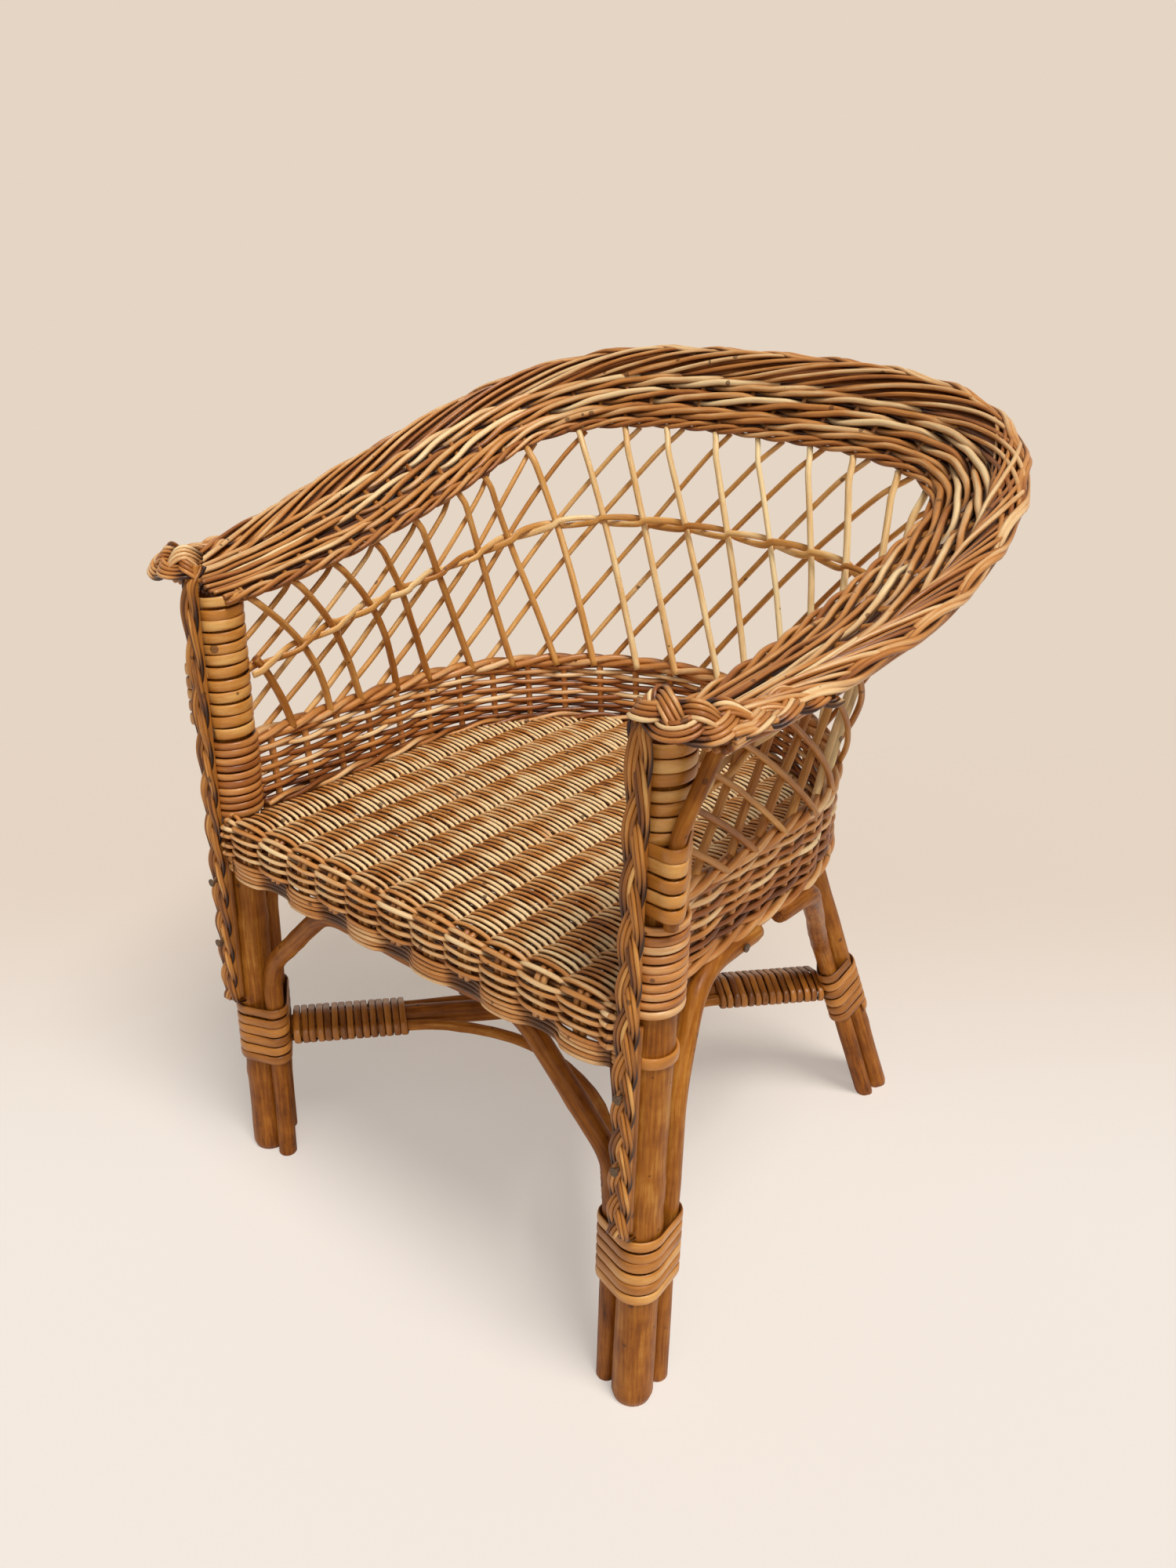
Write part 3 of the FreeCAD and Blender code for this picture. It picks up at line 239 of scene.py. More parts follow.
class Graph:
    """Node tree whose nodes are made with their inputs, each a value or another node's output."""

    def __init__(self, owner):
        owner.use_nodes = True
        self.tree = owner.node_tree
        self.tree.nodes.clear()

    def fill(self, socket, value):
        if isinstance(value, bpy.types.NodeSocket):
            self.tree.links.new(value, socket)
        else:
            socket.default_value = value

    def add(self, kind, *values, settings=None, **inputs):
        """The outputs of a new node, whose inputs are given in order or by name."""
        made = self.tree.nodes.new("ShaderNode" + kind)
        for label, value in (settings or {}).items():
            setattr(made, label, value)
        for socket, value in zip(made.inputs, values):
            self.fill(socket, value)
        for label, value in inputs.items():
            self.fill(made.inputs[label.replace("_", " ")], value)
        return made.outputs

    def attribute(self, label):
        return self.add("Attribute", settings={"attribute_name": label})

    def noise(self, place, scale, detail, roughness):
        return self.add("TexNoise", Vector=place, Scale=scale, Detail=detail, Roughness=roughness)[0]

    def math(self, operation, first, second):
        return self.add("Math", first, second, settings={"operation": operation})[0]

    def about(self, value, middle, gain):
        """How far a value lies from a middle, times a gain."""
        return self.math("MULTIPLY", self.math("SUBTRACT", value, middle), gain)

    def smooth(self, value, low, high, start=0.0, end=1.0):
        return self.add("MapRange", settings={"interpolation_type": "SMOOTHSTEP"}, Value=value,
                        From_Min=low, From_Max=high, To_Min=start, To_Max=end)[0]

    def mix(self, factor, first, second, blend="MIX"):
        return self.add("Mix", settings={"data_type": "RGBA", "blend_type": blend},
                        Factor=factor, A=first, B=second)["Result"]

    def ramp(self, value, stops):
        made = self.tree.nodes.new("ShaderNodeValToRGB")
        while len(made.color_ramp.elements) < len(stops):
            made.color_ramp.elements.new(0.5)
        for element, (place, colour) in zip(made.color_ramp.elements, stops):
            element.position = place
            element.color = (*colour, 1.0)
        self.fill(made.inputs[0], value)
        return made.outputs[0]


# Colours of the painted shade in crossings and of the dark eyes
CREVICE_SHADE, EYE = (0.06, 0.025, 0.012, 1.0), (0.09, 0.03, 0.008, 1.0)
EYE_ROOM, EYE_STRENGTH, DULL_GAIN, COAT_SHARE = 0.16, 0.72, 0.22, 0.5


def willow(name, stops, rough, gloss, eye_scale, streak=0.34, mottle=0.12):
    """Varnished willow: streaked along each rod, mottled, with dark eyes and painted shade in the
    crossings.
    """
    material = bpy.data.materials.new(name)
    graph = Graph(material)
    tint = graph.attribute("tint")["Fac"]
    shade = graph.attribute("shade")["Fac"]
    grain = graph.attribute("grain")["Vector"]
    place = graph.add("TexCoord")["Object"]
    streaks = graph.noise(grain, scale=1.7, detail=5.0, roughness=0.62)
    fine = graph.noise(grain, scale=5.5, detail=3.0, roughness=0.6)
    blotches = graph.noise(place, scale=55.0, detail=3.0, roughness=0.6)
    spread = graph.math("ADD", graph.about(streaks, middle=0.5, gain=streak * 2),
                        graph.about(blotches, middle=0.5, gain=mottle * 2))
    # Painted highlight on the rods' tops, painted shade low in the weave
    top_light = graph.about(shade, middle=0.7, gain=0.4)
    tone = graph.math("ADD", graph.math("ADD", tint, spread), top_light)
    # Painted shade in the crossings, crevices and on the flanks
    crevice_shade = graph.smooth(shade, low=0.24, high=0.68, start=0.97, end=0.0)
    colour = graph.mix(crevice_shade, graph.ramp(tone, stops), CREVICE_SHADE, "MULTIPLY")
    cells = graph.add("TexVoronoi", Vector=place, Scale=eye_scale, Randomness=1.0)
    chance = graph.add("SeparateColor", cells["Color"])[0]
    eye = graph.math("LESS_THAN", cells["Distance"], graph.math("MULTIPLY", chance, EYE_ROOM))
    colour = graph.mix(graph.math("MULTIPLY", eye, EYE_STRENGTH), colour, EYE)
    dull = graph.math("MULTIPLY", fine, DULL_GAIN)
    bump = graph.add("Bump", Strength=0.35, Distance=0.0006, Height=fine)[0]
    shader = graph.add("BsdfPrincipled", Base_Color=colour, Roughness=graph.math("ADD", dull, rough),
                       Specular_IOR_Level=gloss, Coat_Weight=gloss * COAT_SHARE,
                       Coat_Roughness=0.2, Normal=bump)[0]
    graph.add("OutputMaterial", shader)
    return material


WEAVE = willow("willow_weave", (
    (0.0, (0.11, 0.028, 0.006)), (0.3, (0.33, 0.102, 0.018)),
    (0.6, (0.60, 0.250, 0.062)), (1.0, (0.94, 0.68, 0.36))), 0.24, 0.32, 70.0)
LATTICE = willow("willow_lattice", (
    (0.0, (0.15, 0.042, 0.007)), (0.35, (0.40, 0.145, 0.024)),
    (0.65, (0.69, 0.345, 0.09)), (1.0, (0.95, 0.72, 0.38))), 0.28, 0.25, 60.0)
POLE = willow("willow_pole", (
    (0.0, (0.05, 0.014, 0.003)), (0.35, (0.23, 0.066, 0.006)),
    (0.65, (0.37, 0.125, 0.013)), (1.0, (0.56, 0.26, 0.05))), 0.3, 0.14, 85.0, 0.6, 0.4)
SKEIN = willow("willow_skein", (
    (0.0, (0.13, 0.036, 0.005)), (0.35, (0.35, 0.120, 0.015)),
    (0.65, (0.55, 0.215, 0.035)), (1.0, (0.80, 0.45, 0.14))), 0.22, 0.3, 55.0, 0.5)


def dull_iron():
    material = bpy.data.materials.new("dull_iron")
    graph = Graph(material)
    rust = graph.noise(graph.add("TexCoord")["Object"], scale=900.0, detail=4.0, roughness=0.5)
    tones = graph.ramp(rust, ((0.35, (0.07, 0.05, 0.035)), (0.7, (0.22, 0.13, 0.07))))
    shader = graph.add("BsdfPrincipled", Base_Color=tones, Metallic=0.7, Roughness=0.5)[0]
    graph.add("OutputMaterial", shader)
    return material


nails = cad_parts["nails"]
nails.data.materials.clear()
nails.data.materials.append(dull_iron())

# Poles and bent braces

POLE_STEP, THICK_MEAN, FOOT_DARKER = 4.0, 0.985, 0.14
KNOTS_WITHIN, KNOT_SWELL, KNOT_LONG, END_TAPER, END_LONG = (0.1, 0.9), 0.05, 5.0, 0.10, 4.0
# A way that no pole runs along
SKEW = (0.31, 0.87, 0.22)


def post_axis(side, z):
    share = np.asarray(z, float) / POST_TOP
    return points(side * (POST_X + POST_SPLAY * share), POST_LEAN * share, z)


def rear_axis(side, z):
    share = np.asarray(z, float) / REAR_TOP_Z
    return points(side * (REAR_FOOT[0] + (REAR_TOP[0] - REAR_FOOT[0]) * share),
                  REAR_FOOT[1] + (REAR_TOP[1] - REAR_FOOT[1]) * share, z)


def outward(side, angle):
    """Level way from a leg: straight outward at 0 degrees, backward at 90, inward at 180."""
    turn = math.radians(angle)
    return np.array([side * math.cos(turn), math.sin(turn), 0.0])


def beside_post(side, z, angle):
    return post_axis(side, z) + outward(side, angle) * (POST_R + BRACE_R + FIT)


def beside_rear(side, z, angle):
    way = unit(rear_axis(side, REAR_TOP_Z) - rear_axis(side, 0.0))
    out = outward(side, angle)
    out = unit(out - way * np.dot(out, way)) * (REAR_R + BRACE_R + FIT)
    return rear_axis(side, z) + out - way * (out[2] / way[2])


def stick_place(side):
    """Where the stick that props the arm lies beside the post, turned a little forward."""
    return STICK_OUT * outward(side, -STICK_TURN)


def pole(name, path, radius, tint, sides=22, knots=3, wander=0.5):
    """One natural pole: slightly uneven in thickness and line, with a few knots."""
    path = resample(np.asarray(path, float), POLE_STEP)
    run = lengths(path)
    ahead = unit(np.gradient(path, axis=0))
    across = unit(np.cross(ahead, SKEW))
    beyond = np.cross(ahead, across)
    inside = np.sin(math.pi * run / run[-1])[:, None]
    path = path + inside * (across * slow_noise(run, wave=170.0, size=wander)[:, None]
                            + beyond * slow_noise(run, wave=210.0, size=wander)[:, None])
    thick = radius * (THICK_MEAN + slow_noise(run, wave=120.0, size=0.018))
    for spot in rng.uniform(*KNOTS_WITHIN, knots) * run[-1]:
        thick = thick + radius * KNOT_SWELL * np.exp(-((run - spot) / KNOT_LONG) ** 2)
    edge = np.minimum(run, run[-1] - run)
    thick = thick * (1 - END_TAPER * (1 - ease(0.0, END_LONG, edge)))
    foot = FOOT_DARKER * ease(low=90.0, high=40.0, value=path[:, 2])
    tone = tint + slow_noise(run, wave=150.0, size=0.10) - foot
    made = Weave()
    made.rod(path, thick, face=across, sides=sides, tint=tone, floor=True)
    made.piece(name + "_pole", POLE, "pole", name)


# Rear legs, braces and arches start a little below the floor, where they are cut level
LOW, BEND = -3.0, 42.0
SIDE_RUN_X, SIDE_RUN_Z = 161.9, 260.1
FRONT_BRACE_TOP, FRONT_RUN = 205.0, (62.0, 118.0)
REAR_BRACE_TOP, REAR_RUN, REAR_RUN_OUT, REAR_BEND = 142.0, (176.0, 141.0), 1.0, 0.6
STICK_LOW, STICK_BEND_Z, STICK_TOP, STICK_TOP_OUT, STICK_BEND = 327.0, 374.0, 422.1, 29.0, 40.0
# The left post's darker tint is painted shade
POST_TINT_AND_SHADE = {-1: 0.4, 1: 0.5}

for word, side in SIDES:
    pole(f"front_{word}_post", post_axis(side, np.linspace(0, POST_TOP, 60)), POST_R,
         POST_TINT_AND_SHADE[side], sides=28, knots=5)
    pole(f"rear_{word}_leg", rear_axis(side, np.linspace(LOW, REAR_TOP_Z - 1, 50)), REAR_R, tint=0.44)
    path = bent_path([beside_post(side, LOW, FRONT_BRACE_ANGLE),
                      beside_post(side, FRONT_BRACE_TOP, FRONT_BRACE_ANGLE),
                      (side * SIDE_RUN_X, FRONT_RUN[0], SIDE_RUN_Z),
                      (side * SIDE_RUN_X, FRONT_RUN[1], SIDE_RUN_Z)], [BEND, BEND])
    pole(f"{word}_front_side_brace", path, BRACE_R, tint=0.5)
    path = bent_path([beside_rear(side, LOW, REAR_BRACE_ANGLE),
                      beside_rear(side, REAR_BRACE_TOP, REAR_BRACE_ANGLE),
                      (side * (SIDE_RUN_X + REAR_RUN_OUT), REAR_RUN[0], SIDE_RUN_Z),
                      (side * SIDE_RUN_X, REAR_RUN[1], SIDE_RUN_Z)], [BEND, BEND * REAR_BEND])
    pole(f"{word}_rear_side_brace", path, BRACE_R, tint=0.4)
    path = bent_path([post_axis(side, STICK_LOW) + stick_place(side),
                      post_axis(side, STICK_BEND_Z) + stick_place(side),
                      post_axis(side, STICK_TOP) + np.array([side * STICK_TOP_OUT, 0, 0])],
                     [STICK_BEND])
    pole(f"{word}_arm_stick", path, STICK_R, tint=0.42, sides=16, knots=1)

RAIL_R, RAIL_Y = 9.0, 5.9
HOOP_R, HOOP_Z, HOOP_HALF, HOOP_FRONT = 7.0, 261.4, 148.0, -2.0


def arch(name, beside, angle, bend_z, half, y, z, tint, knots):
    """One rod bent up from foot to foot, with a level crown."""
    corners = []
    for side in (-1, 1):
        leg = [beside(side, LOW, angle), beside(side, bend_z, angle), (side * half, y, z)]
        corners += leg if side < 0 else leg[::-1]
    pole(name, bent_path(corners, [BEND] * 4), BRACE_R, tint, knots=knots)


arch("front_arch", beside_post, angle=180.0, bend_z=160.0, half=84.0, y=3.0,
     z=RAIL_Z - RAIL_R - FIT - BRACE_R, tint=0.34, knots=7)
arch("rear_arch", beside_rear, angle=BACK_ARCH_ANGLE, bend_z=150.0, half=52.0, y=297.0,
     z=REAR_TOP_Z - BRACE_R - FIT, tint=0.4, knots=6)

rail_half = post_axis(1, RAIL_Z)[0] - POST_R
pole("seat_front_rail", points(np.linspace(-rail_half, rail_half, 60), RAIL_Y, RAIL_Z), RAIL_R, tint=0.38)
turn = np.linspace(0, math.pi, 60)
hoop = np.vstack([points(HOOP_HALF, np.linspace(HOOP_FRONT, ROUND_Y, 30), HOOP_Z),
                  points(HOOP_HALF * np.cos(turn), ROUND_Y + HOOP_HALF * np.sin(turn), HOOP_Z),
                  points(-HOOP_HALF, np.linspace(ROUND_Y, HOOP_FRONT, 30), HOOP_Z)])
pole("seat_hoop", resample(hoop, POLE_STEP), HOOP_R, tint=0.4, sides=14)

# Stretcher: crossed poles and the thin bows between them

STRETCHER_Z, STRETCHER_START, STRETCHER_END = 100.0, 21.9, 22.9
BOW_START, BOW_TIED = 29.0, 72.8

legs = {}
for word, side in SIDES:
    front, rear = post_axis(side, STRETCHER_Z), rear_axis(-side, STRETCHER_Z)
    way = unit(rear - front)
    legs[("front", side)] = (front, way)
    legs[("rear", -side)] = (rear, -way)
    pole(f"{word}_stretcher_pole", [front + way * STRETCHER_START, rear - way * STRETCHER_END],
         POLE_R, tint=0.3, knots=5)


def bow(name, first, second):
    """Thin rod that runs beside one stretcher pole, bends, and runs beside the next one."""
    (first_leg, first_way), (second_leg, second_way) = legs[first], legs[second]
    offset = POLE_R + BOW_R + FIT
    hand = 1 if np.cross(first_way, -second_way)[2] > 0 else -1
    start = first_leg + first_way * BOW_START + np.cross(first_way, UP) * (-offset * hand)
    end = second_leg + second_way * BOW_START + np.cross(second_way, UP) * (offset * hand)
    reach = np.cross(end - start, second_way)[2] / np.cross(first_way, second_way)[2]
    corner = start + first_way * reach
    tangent = min(np.linalg.norm(corner - start), np.linalg.norm(corner - end))
    tangent -= BOW_TIED
    half = math.acos(np.dot(unit(start - corner), unit(end - corner))) / 2
    path = bent_path([start, corner, end], [tangent * math.tan(half)])
    pole(name, path, BOW_R, tint=0.5, sides=14, knots=2, wander=0.8)


bow("front_bow", ("front", -1), ("front", 1))
bow("rear_bow", ("rear", 1), ("rear", -1))
bow("left_bow", ("rear", -1), ("front", -1))
bow("right_bow", ("front", 1), ("rear", 1))

# Windings: strips of split willow, and round weavers on the posts at the wall's ends

STRIP = 2.2
SPLIT = {"thick": STRIP, "material": SKEIN, "slot": "skein", "ending": "_strip"}
ROUND_ROD = {"thick": 3.8, "material": WEAVE, "slot": "weave", "ending": "_rods"}
BINDING = dict(SPLIT, low=82.5, pitch=7.7, turns=6, width=7.3, tint=0.36)
# The right front binding is paler; the front left one's darker tint is painted shade
LIT_BINDING = dict(BINDING, tint=0.5)
UPPER_WRAP = dict(SPLIT, low=367.5, pitch=7.4, turns=7, width=7.0, tint=0.66)
LOWER_WRAP = dict(SPLIT, low=330.0, pitch=8.1, turns=5, width=7.6, tint=0.6)
STRETCHER_WRAP = dict(SPLIT, low=22.5, pitch=5.35, turns=15, width=4.9, tint=0.26)
WEAVERS = dict(ROUND_ROD, low=272.0, pitch=5.3, turns=10, width=5.0, tint=0.42)
# The last two place painted shade along each strip's edges, where turns meet
OUTLINE_STEP, RISE_NOISE, BREADTH_MEAN, EDGE_SHADE_DEPTH, EDGE_SHADE_REACH = 2.5, 0.07, 0.96, 0.3, 0.8
STRAP_HALF_ANGLE = 115


def hull_outline(circles):
    """Points and outward normals once round a bundle of circles, turning left."""
    pairs = list(zip(circles, circles[1:] + circles[:1]))
    gaps = [math.hypot(u1 - u0, v1 - v0) for (u0, v0, r0), (u1, v1, r1) in pairs]
    leave = []
    for ((u0, v0, r0), (u1, v1, r1)), gap in zip(pairs, gaps):
        turn = math.acos((r0 - r1) / gap) if gap else -2 * math.pi
        leave.append(math.atan2(v1 - v0, u1 - u0) - turn)
    place, out = [], []
    for k, ((*first, r0), (*second, r1)) in enumerate(pairs):
        sweep = (leave[k] - leave[k - 1]) % (2 * math.pi) or 2 * math.pi
        angle = np.arange(leave[k - 1], leave[k - 1] + sweep, OUTLINE_STEP / r0)
        out.append(points(np.cos(angle), np.sin(angle)))
        place.append(first + r0 * out[-1])
        if gaps[k]:
            share = np.arange(0, 1, OUTLINE_STEP / gaps[k])[:, None]
            out.append(points(math.cos(leave[k]), np.full(len(share), math.sin(leave[k]))))
            place.append((first + r0 * out[-1]) * (1 - share) + (second + r1 * out[-1]) * share)
    return np.vstack(place), np.vstack(out)


def bundle_axes(axis, across):
    """Unit ways along a bundle, across it, and square to both."""
    a = unit(axis)
    u = unit(np.asarray(across, float) - a * np.dot(across, a))
    return a, u, np.cross(a, u)


def wound(name, origin, axis, across, circles, lay, begin=0.0):
    """One strip wound up a bundle, with both ends at a share of the way round it."""
    a, u, v = bundle_axes(axis, across)
    thick, pitch = lay["thick"], lay["pitch"]
    place, out = hull_outline([(x, y, r + FIT + thick / 2) for x, y, r in circles])
    n = len(place)
    index = np.arange(int(n * lay["turns"]) + 1)
    turns = index / n
    about = (index + int(n * begin)) % n
    spot, face = place[about], out[about]
    rise = lay["low"] + pitch * turns + slow_noise(turns, wave=1.7, size=pitch * RISE_NOISE)
    path = origin + u * spot[:, :1] + v * spot[:, 1:] + a * rise[:, None]
    face = u * face[:, :1] + v * face[:, 1:]
    tone = lay["tint"] + slow_noise(turns, wave=2.3, size=0.24)
    breadth = lay["width"] * (BREADTH_MEAN + slow_noise(turns, wave=1.3, size=0.08))
    made = Weave()
    # Painted shade darkens each strip's edges
    made.rod(path, thick / 2, face=face, sides=12, tint=tone, width=breadth, boxy=0.75,
             mid=path - face * (thick * EDGE_SHADE_DEPTH), reach=thick * EDGE_SHADE_REACH)
    made.piece(name + lay["ending"], lay["material"], lay["slot"], name)


for word, side in SIDES:
    foot, rear_foot = post_axis(side, 0.0), rear_axis(side, 0.0)
    axis = post_axis(side, POST_TOP) - foot
    step = POST_R + BRACE_R + FIT
    brace = (*(step * outward(side, FRONT_BRACE_ANGLE))[:2], BRACE_R)
    inner = (-side * step, 0.0, BRACE_R)
    post = (0.0, 0.0, POST_R)
    bundle = [inner, post, brace] if side > 0 else [post, inner, brace]
    wound(f"front_{word}_leg_binding", foot, axis, (1, 0, 0), bundle,
          LIT_BINDING if side > 0 else BINDING)

    way, across, beyond = bundle_axes(rear_axis(side, REAR_TOP_Z) - rear_foot, (1, 0, 0))
    bundle = [(0.0, 0.0, REAR_R)]
    for angle in (BACK_ARCH_ANGLE, REAR_BRACE_ANGLE):
        spot = beside_rear(side, BINDING["low"], angle) - rear_axis(side, BINDING["low"])
        bundle.append((np.dot(spot, across), np.dot(spot, beyond), BRACE_R))
    if side < 0:
        bundle.reverse()
    wound(f"rear_{word}_leg_binding", rear_foot, way, (1, 0, 0), bundle, BINDING)

    stick = (*stick_place(side)[:2], STICK_R)
    wound(f"front_{word}_upper_wrap", foot, axis, (0, 1, 0), [post], UPPER_WRAP)
    wound(f"front_{word}_lower_wrap", foot, axis, (1, 0, 0), [post, stick], LOWER_WRAP)
    wound(f"front_{word}_wall_weavers", foot, axis, (0, 1, 0), [post], WEAVERS)

    made = Weave()
    strap = np.linspace(-STRAP_HALF_ANGLE, STRAP_HALF_ANGLE, 40) + (0 if side > 0 else 180)
    out = points(np.cos(np.radians(strap)), np.sin(np.radians(strap)), 0.0)
    path = post_axis(side, RAIL_Z) + out * (POST_R + FIT + STRIP / 2)
    made.rod(path, STRIP / 2, face=out, sides=12, tint=0.5, width=7.0, boxy=0.7)
    made.piece(f"{word}_rail_strap_strip", SKEIN, "skein", f"{word}_rail_strap")

for (row_word, side), (leg, way) in legs.items():
    word = "left" if side < 0 else "right"
    ring = POLE_R + BOW_R + FIT
    bundle = [(ring, 0, BOW_R), (0, 0, POLE_R), (-ring, 0, BOW_R), (0, 0, POLE_R)]
    wound(f"{row_word}_{word}_stretcher_wrap", leg, way, np.cross(way, UP), bundle,
          STRETCHER_WRAP, begin=0.25)

# Woven seat: weavers cross paired stakes from left to right, row by row forward and down the apron

SEAT_HALF, SEAT_MID_Z, SEAT_STAKES = 153.6, 273.3, 11
STAKE_PITCH = 2 * SEAT_HALF / SEAT_STAKES
STAKES = (np.arange(SEAT_STAKES) - (SEAT_STAKES - 1) / 2) * STAKE_PITCH
SEAT_ROW, SEAT_ROD_R, SEAT_WAVE = 2.3, 1.36, 3.1
APRON_ROW, APRON_ROD_R, ROLL_ROW = 3.0, 1.6, 0.68
APRON_Y, APRON_HALF, APRON_LOW, ROLL_R = -12.5, 160.0, 235.0, 8.0
APRON_TURN_Y = APRON_Y + ROLL_R
APRON_LENGTH = ROLL_R * math.pi / 2 + (SEAT_MID_Z - ROLL_R) - APRON_LOW
SEAT_BACK = ROUND_Y + SEAT_HALF - APRON_TURN_Y
BACK_MARGIN, SEAT_ROWS_END, ROLL_ROWS_START, ROLL_ROWS_END = 5.0, -3.0, -1.2, ROLL_R * 1.5
# The apron's last rows all cross the stakes alike
SAME_ROWS, LEAST_HALF, WEAVER_STEP, SWING_POWER = 4, 20, 3.8, 0.5
# Seat weavers: painted light on slopes facing the key lamp, painted shade on crests, random patches; apron
# rods darker
SEAT_TINT, SLOPE_LIGHT, CREST_SHADE, PATCH_TINT, APRON_DARKER = 0.92, 0.3, 0.3, 0.3, -0.28
SEAT_WANDER, APRON_WANDER, LOOP_OUT, PAIR_APART, STAKE_MARGIN = 0.35, 0.7, 4.0, 2.3, 4.0
# The seat's stakes are near-black as painted shade in the gaps between weavers, and paler down the apron
STAKE_SHADE_TINT, STAKE_LOW_TINT, STAKE_SPREAD = 0.05, 0.4, 0.08


def seat_line(s):
    """Point and normal of the seat sheet at a distance along it: forward to the roll at 0, then down."""
    s = np.asarray(s, float)
    quarter = ROLL_R * math.pi / 2
    angle = np.clip(s / ROLL_R, 0, math.pi / 2)
    flat = np.minimum(s, 0.0)
    down = np.maximum(s - quarter, 0.0)
    y = APRON_TURN_Y - flat - ROLL_R * np.sin(angle)
    z = SEAT_MID_Z - ROLL_R * (1 - np.cos(angle)) - down
    return points(0.0, y, z), points(0.0, -np.sin(angle), np.cos(angle))


def seat_reach(y):
    """Half the seat's width, which shrinks round the back."""
    back = np.maximum(y - ROUND_Y, 0.0)
    return math.sqrt(max(SEAT_HALF ** 2 - back ** 2, 0.0))


seat = Weave()
apron = Weave()
ends = []
seat_rows = np.arange(-SEAT_BACK + BACK_MARGIN, SEAT_ROWS_END, SEAT_ROW)
apron_rows = np.concatenate([np.arange(ROLL_ROWS_START, ROLL_ROWS_END, APRON_ROW * ROLL_ROW),
                             np.arange(ROLL_ROWS_END + APRON_ROW / 2, APRON_LENGTH, APRON_ROW)])
all_rows = np.concatenate([seat_rows, apron_rows])
ridges = np.arange(SEAT_STAKES + 2) - (SEAT_STAKES + 1) / 2
patches = np.array([slow_noise(all_rows, wave=120.0, size=0.34) for ridge in ridges])
for number, s in enumerate(all_rows):
    base, normal = seat_line(s)
    apron_row = number - len(seat_rows)
    on_apron = apron_row >= 0
    in_turn = apron_row < len(apron_rows) - SAME_ROWS
    half = APRON_HALF if on_apron else seat_reach(base[1]) - 1.0
    if half < LEAST_HALF:
        continue
    phase = number if in_turn else len(seat_rows)
    x = np.linspace(-half, half, int(2 * half / WEAVER_STEP))
    beat = math.pi * (x / STAKE_PITCH + phase + slow_noise(x, wave=140.0, size=0.04))
    swing = sharpened(np.cos(beat), SWING_POWER)
    wander = APRON_WANDER if on_apron and in_turn else SEAT_WANDER
    centre, face = seat_line(s + slow_noise(x, wave=160.0, size=wander))
    mid = centre + points(x, 0.0, 0.0)
    path = mid + face * (SEAT_WAVE * swing)[:, None]
    patch = np.interp(x / STAKE_PITCH, ridges, patches[:, number])
    # Painted light on the slopes that face the key lamp, painted shade on the crests
    light_and_tone = (SLOPE_LIGHT + patch) * np.sin(beat) - CREST_SHADE * np.maximum(np.cos(beat), 0.0) ** 3
    light_and_tone = APRON_DARKER if on_apron else light_and_tone + PATCH_TINT * patch
    tone = varied(SEAT_TINT + light_and_tone, x, spread=0.11, wave=150.0, size=0.12)
    rod_r = APRON_ROD_R if on_apron else SEAT_ROD_R
    radius = rod_r * varied(1.0, x, spread=0.06, wave=300.0, size=0.06)
    target = apron if on_apron else seat
    target.rod(path, radius, face=face, tint=tone, mid=mid, reach=SEAT_WAVE + rod_r, layered=True,
               flank_shade=0.3)
    if on_apron:
        ends.append((path[0], path[-1], face[0]))

for k in range(len(ends) - 1):
    pick = 0 if k % 2 else 1
    a, b = ends[k][pick], ends[k + 1][pick]
    out = np.array([1.0 if pick else -1.0, 0.0, 0.0])
    t = np.linspace(0, math.pi, 12)[:, None]
    loop = (a + b) / 2 + (a - b) / 2 * np.cos(t) + out * np.sin(t) * LOOP_OUT
    apron.rod(loop, APRON_ROD_R, face=ends[k][2], tint=0.55)

for x in STAKES:
    top = math.sqrt(max(SEAT_HALF ** 2 - x ** 2, 0.0)) + ROUND_Y - STAKE_MARGIN
    for beside in (-PAIR_APART, PAIR_APART):
        s = np.linspace(APRON_TURN_Y - top, APRON_LENGTH - APRON_ROW * SAME_ROWS, 110)
        base, face = seat_line(s)
        path = base + points(x + beside, 0.0, 0.0) + face * slow_noise(s, wave=60.0, size=0.3)[:, None]
        tone = STAKE_SHADE_TINT + STAKE_LOW_TINT * ease(low=-2.0, high=6.0, value=s) + rng.normal(0, STAKE_SPREAD)
        apron.rod(path, radius=2.0, face=face, tint=tone)
seat.piece("woven_seat_panel", WEAVE, "weave", "woven_seat")
apron.piece("woven_seat_apron", WEAVE, "weave")

# Low woven wall round the seat

WALL_LOW, WALL_TOP, WALL_FRONT, WALL_STAKES = 267.0, 324.0, 19.0, 28
WALL_HALF, WALL_FLARE, WALL_DRAW, WALL_STEP = 161.5, 5.0, 10.0, 3.2
WALL_WAVE, WALL_ROD_R, WALL_ROWS, FIRST_ROW, ROWS_SPAN = 2.1, 1.9, 13, 0.11, 0.75
# Height shares and swings of the ropes twisted along the wall's foot and crest
WALL_ROPES = ((0.01, 2.7), (0.95, 2.8))


def wall_line(height, inwards=0.0):
    """Middle line of the wall at a height share, from the left front to the right front."""
    half = WALL_HALF + WALL_FLARE * height - inwards
    middle = ROUND_Y - WALL_DRAW * height
    z = WALL_LOW + (WALL_TOP - WALL_LOW) * height
    straight = np.linspace(WALL_FRONT, middle, 40)
    turn = np.linspace(0, math.pi, 120)
    path = np.vstack([points(-half, straight, z),
                      points(-half * np.cos(turn), middle + half * np.sin(turn), z)[1:-1],
                      points(half, straight[::-1], z)])
    return resample(path, WALL_STEP)


def plan_out(path):
    """Level outward way at each point of a line round the seat."""
    ahead = unit(np.gradient(path, axis=0) * np.array([1, 1, 0.0]))
    return points(-ahead[:, 1], ahead[:, 0], 0.0)


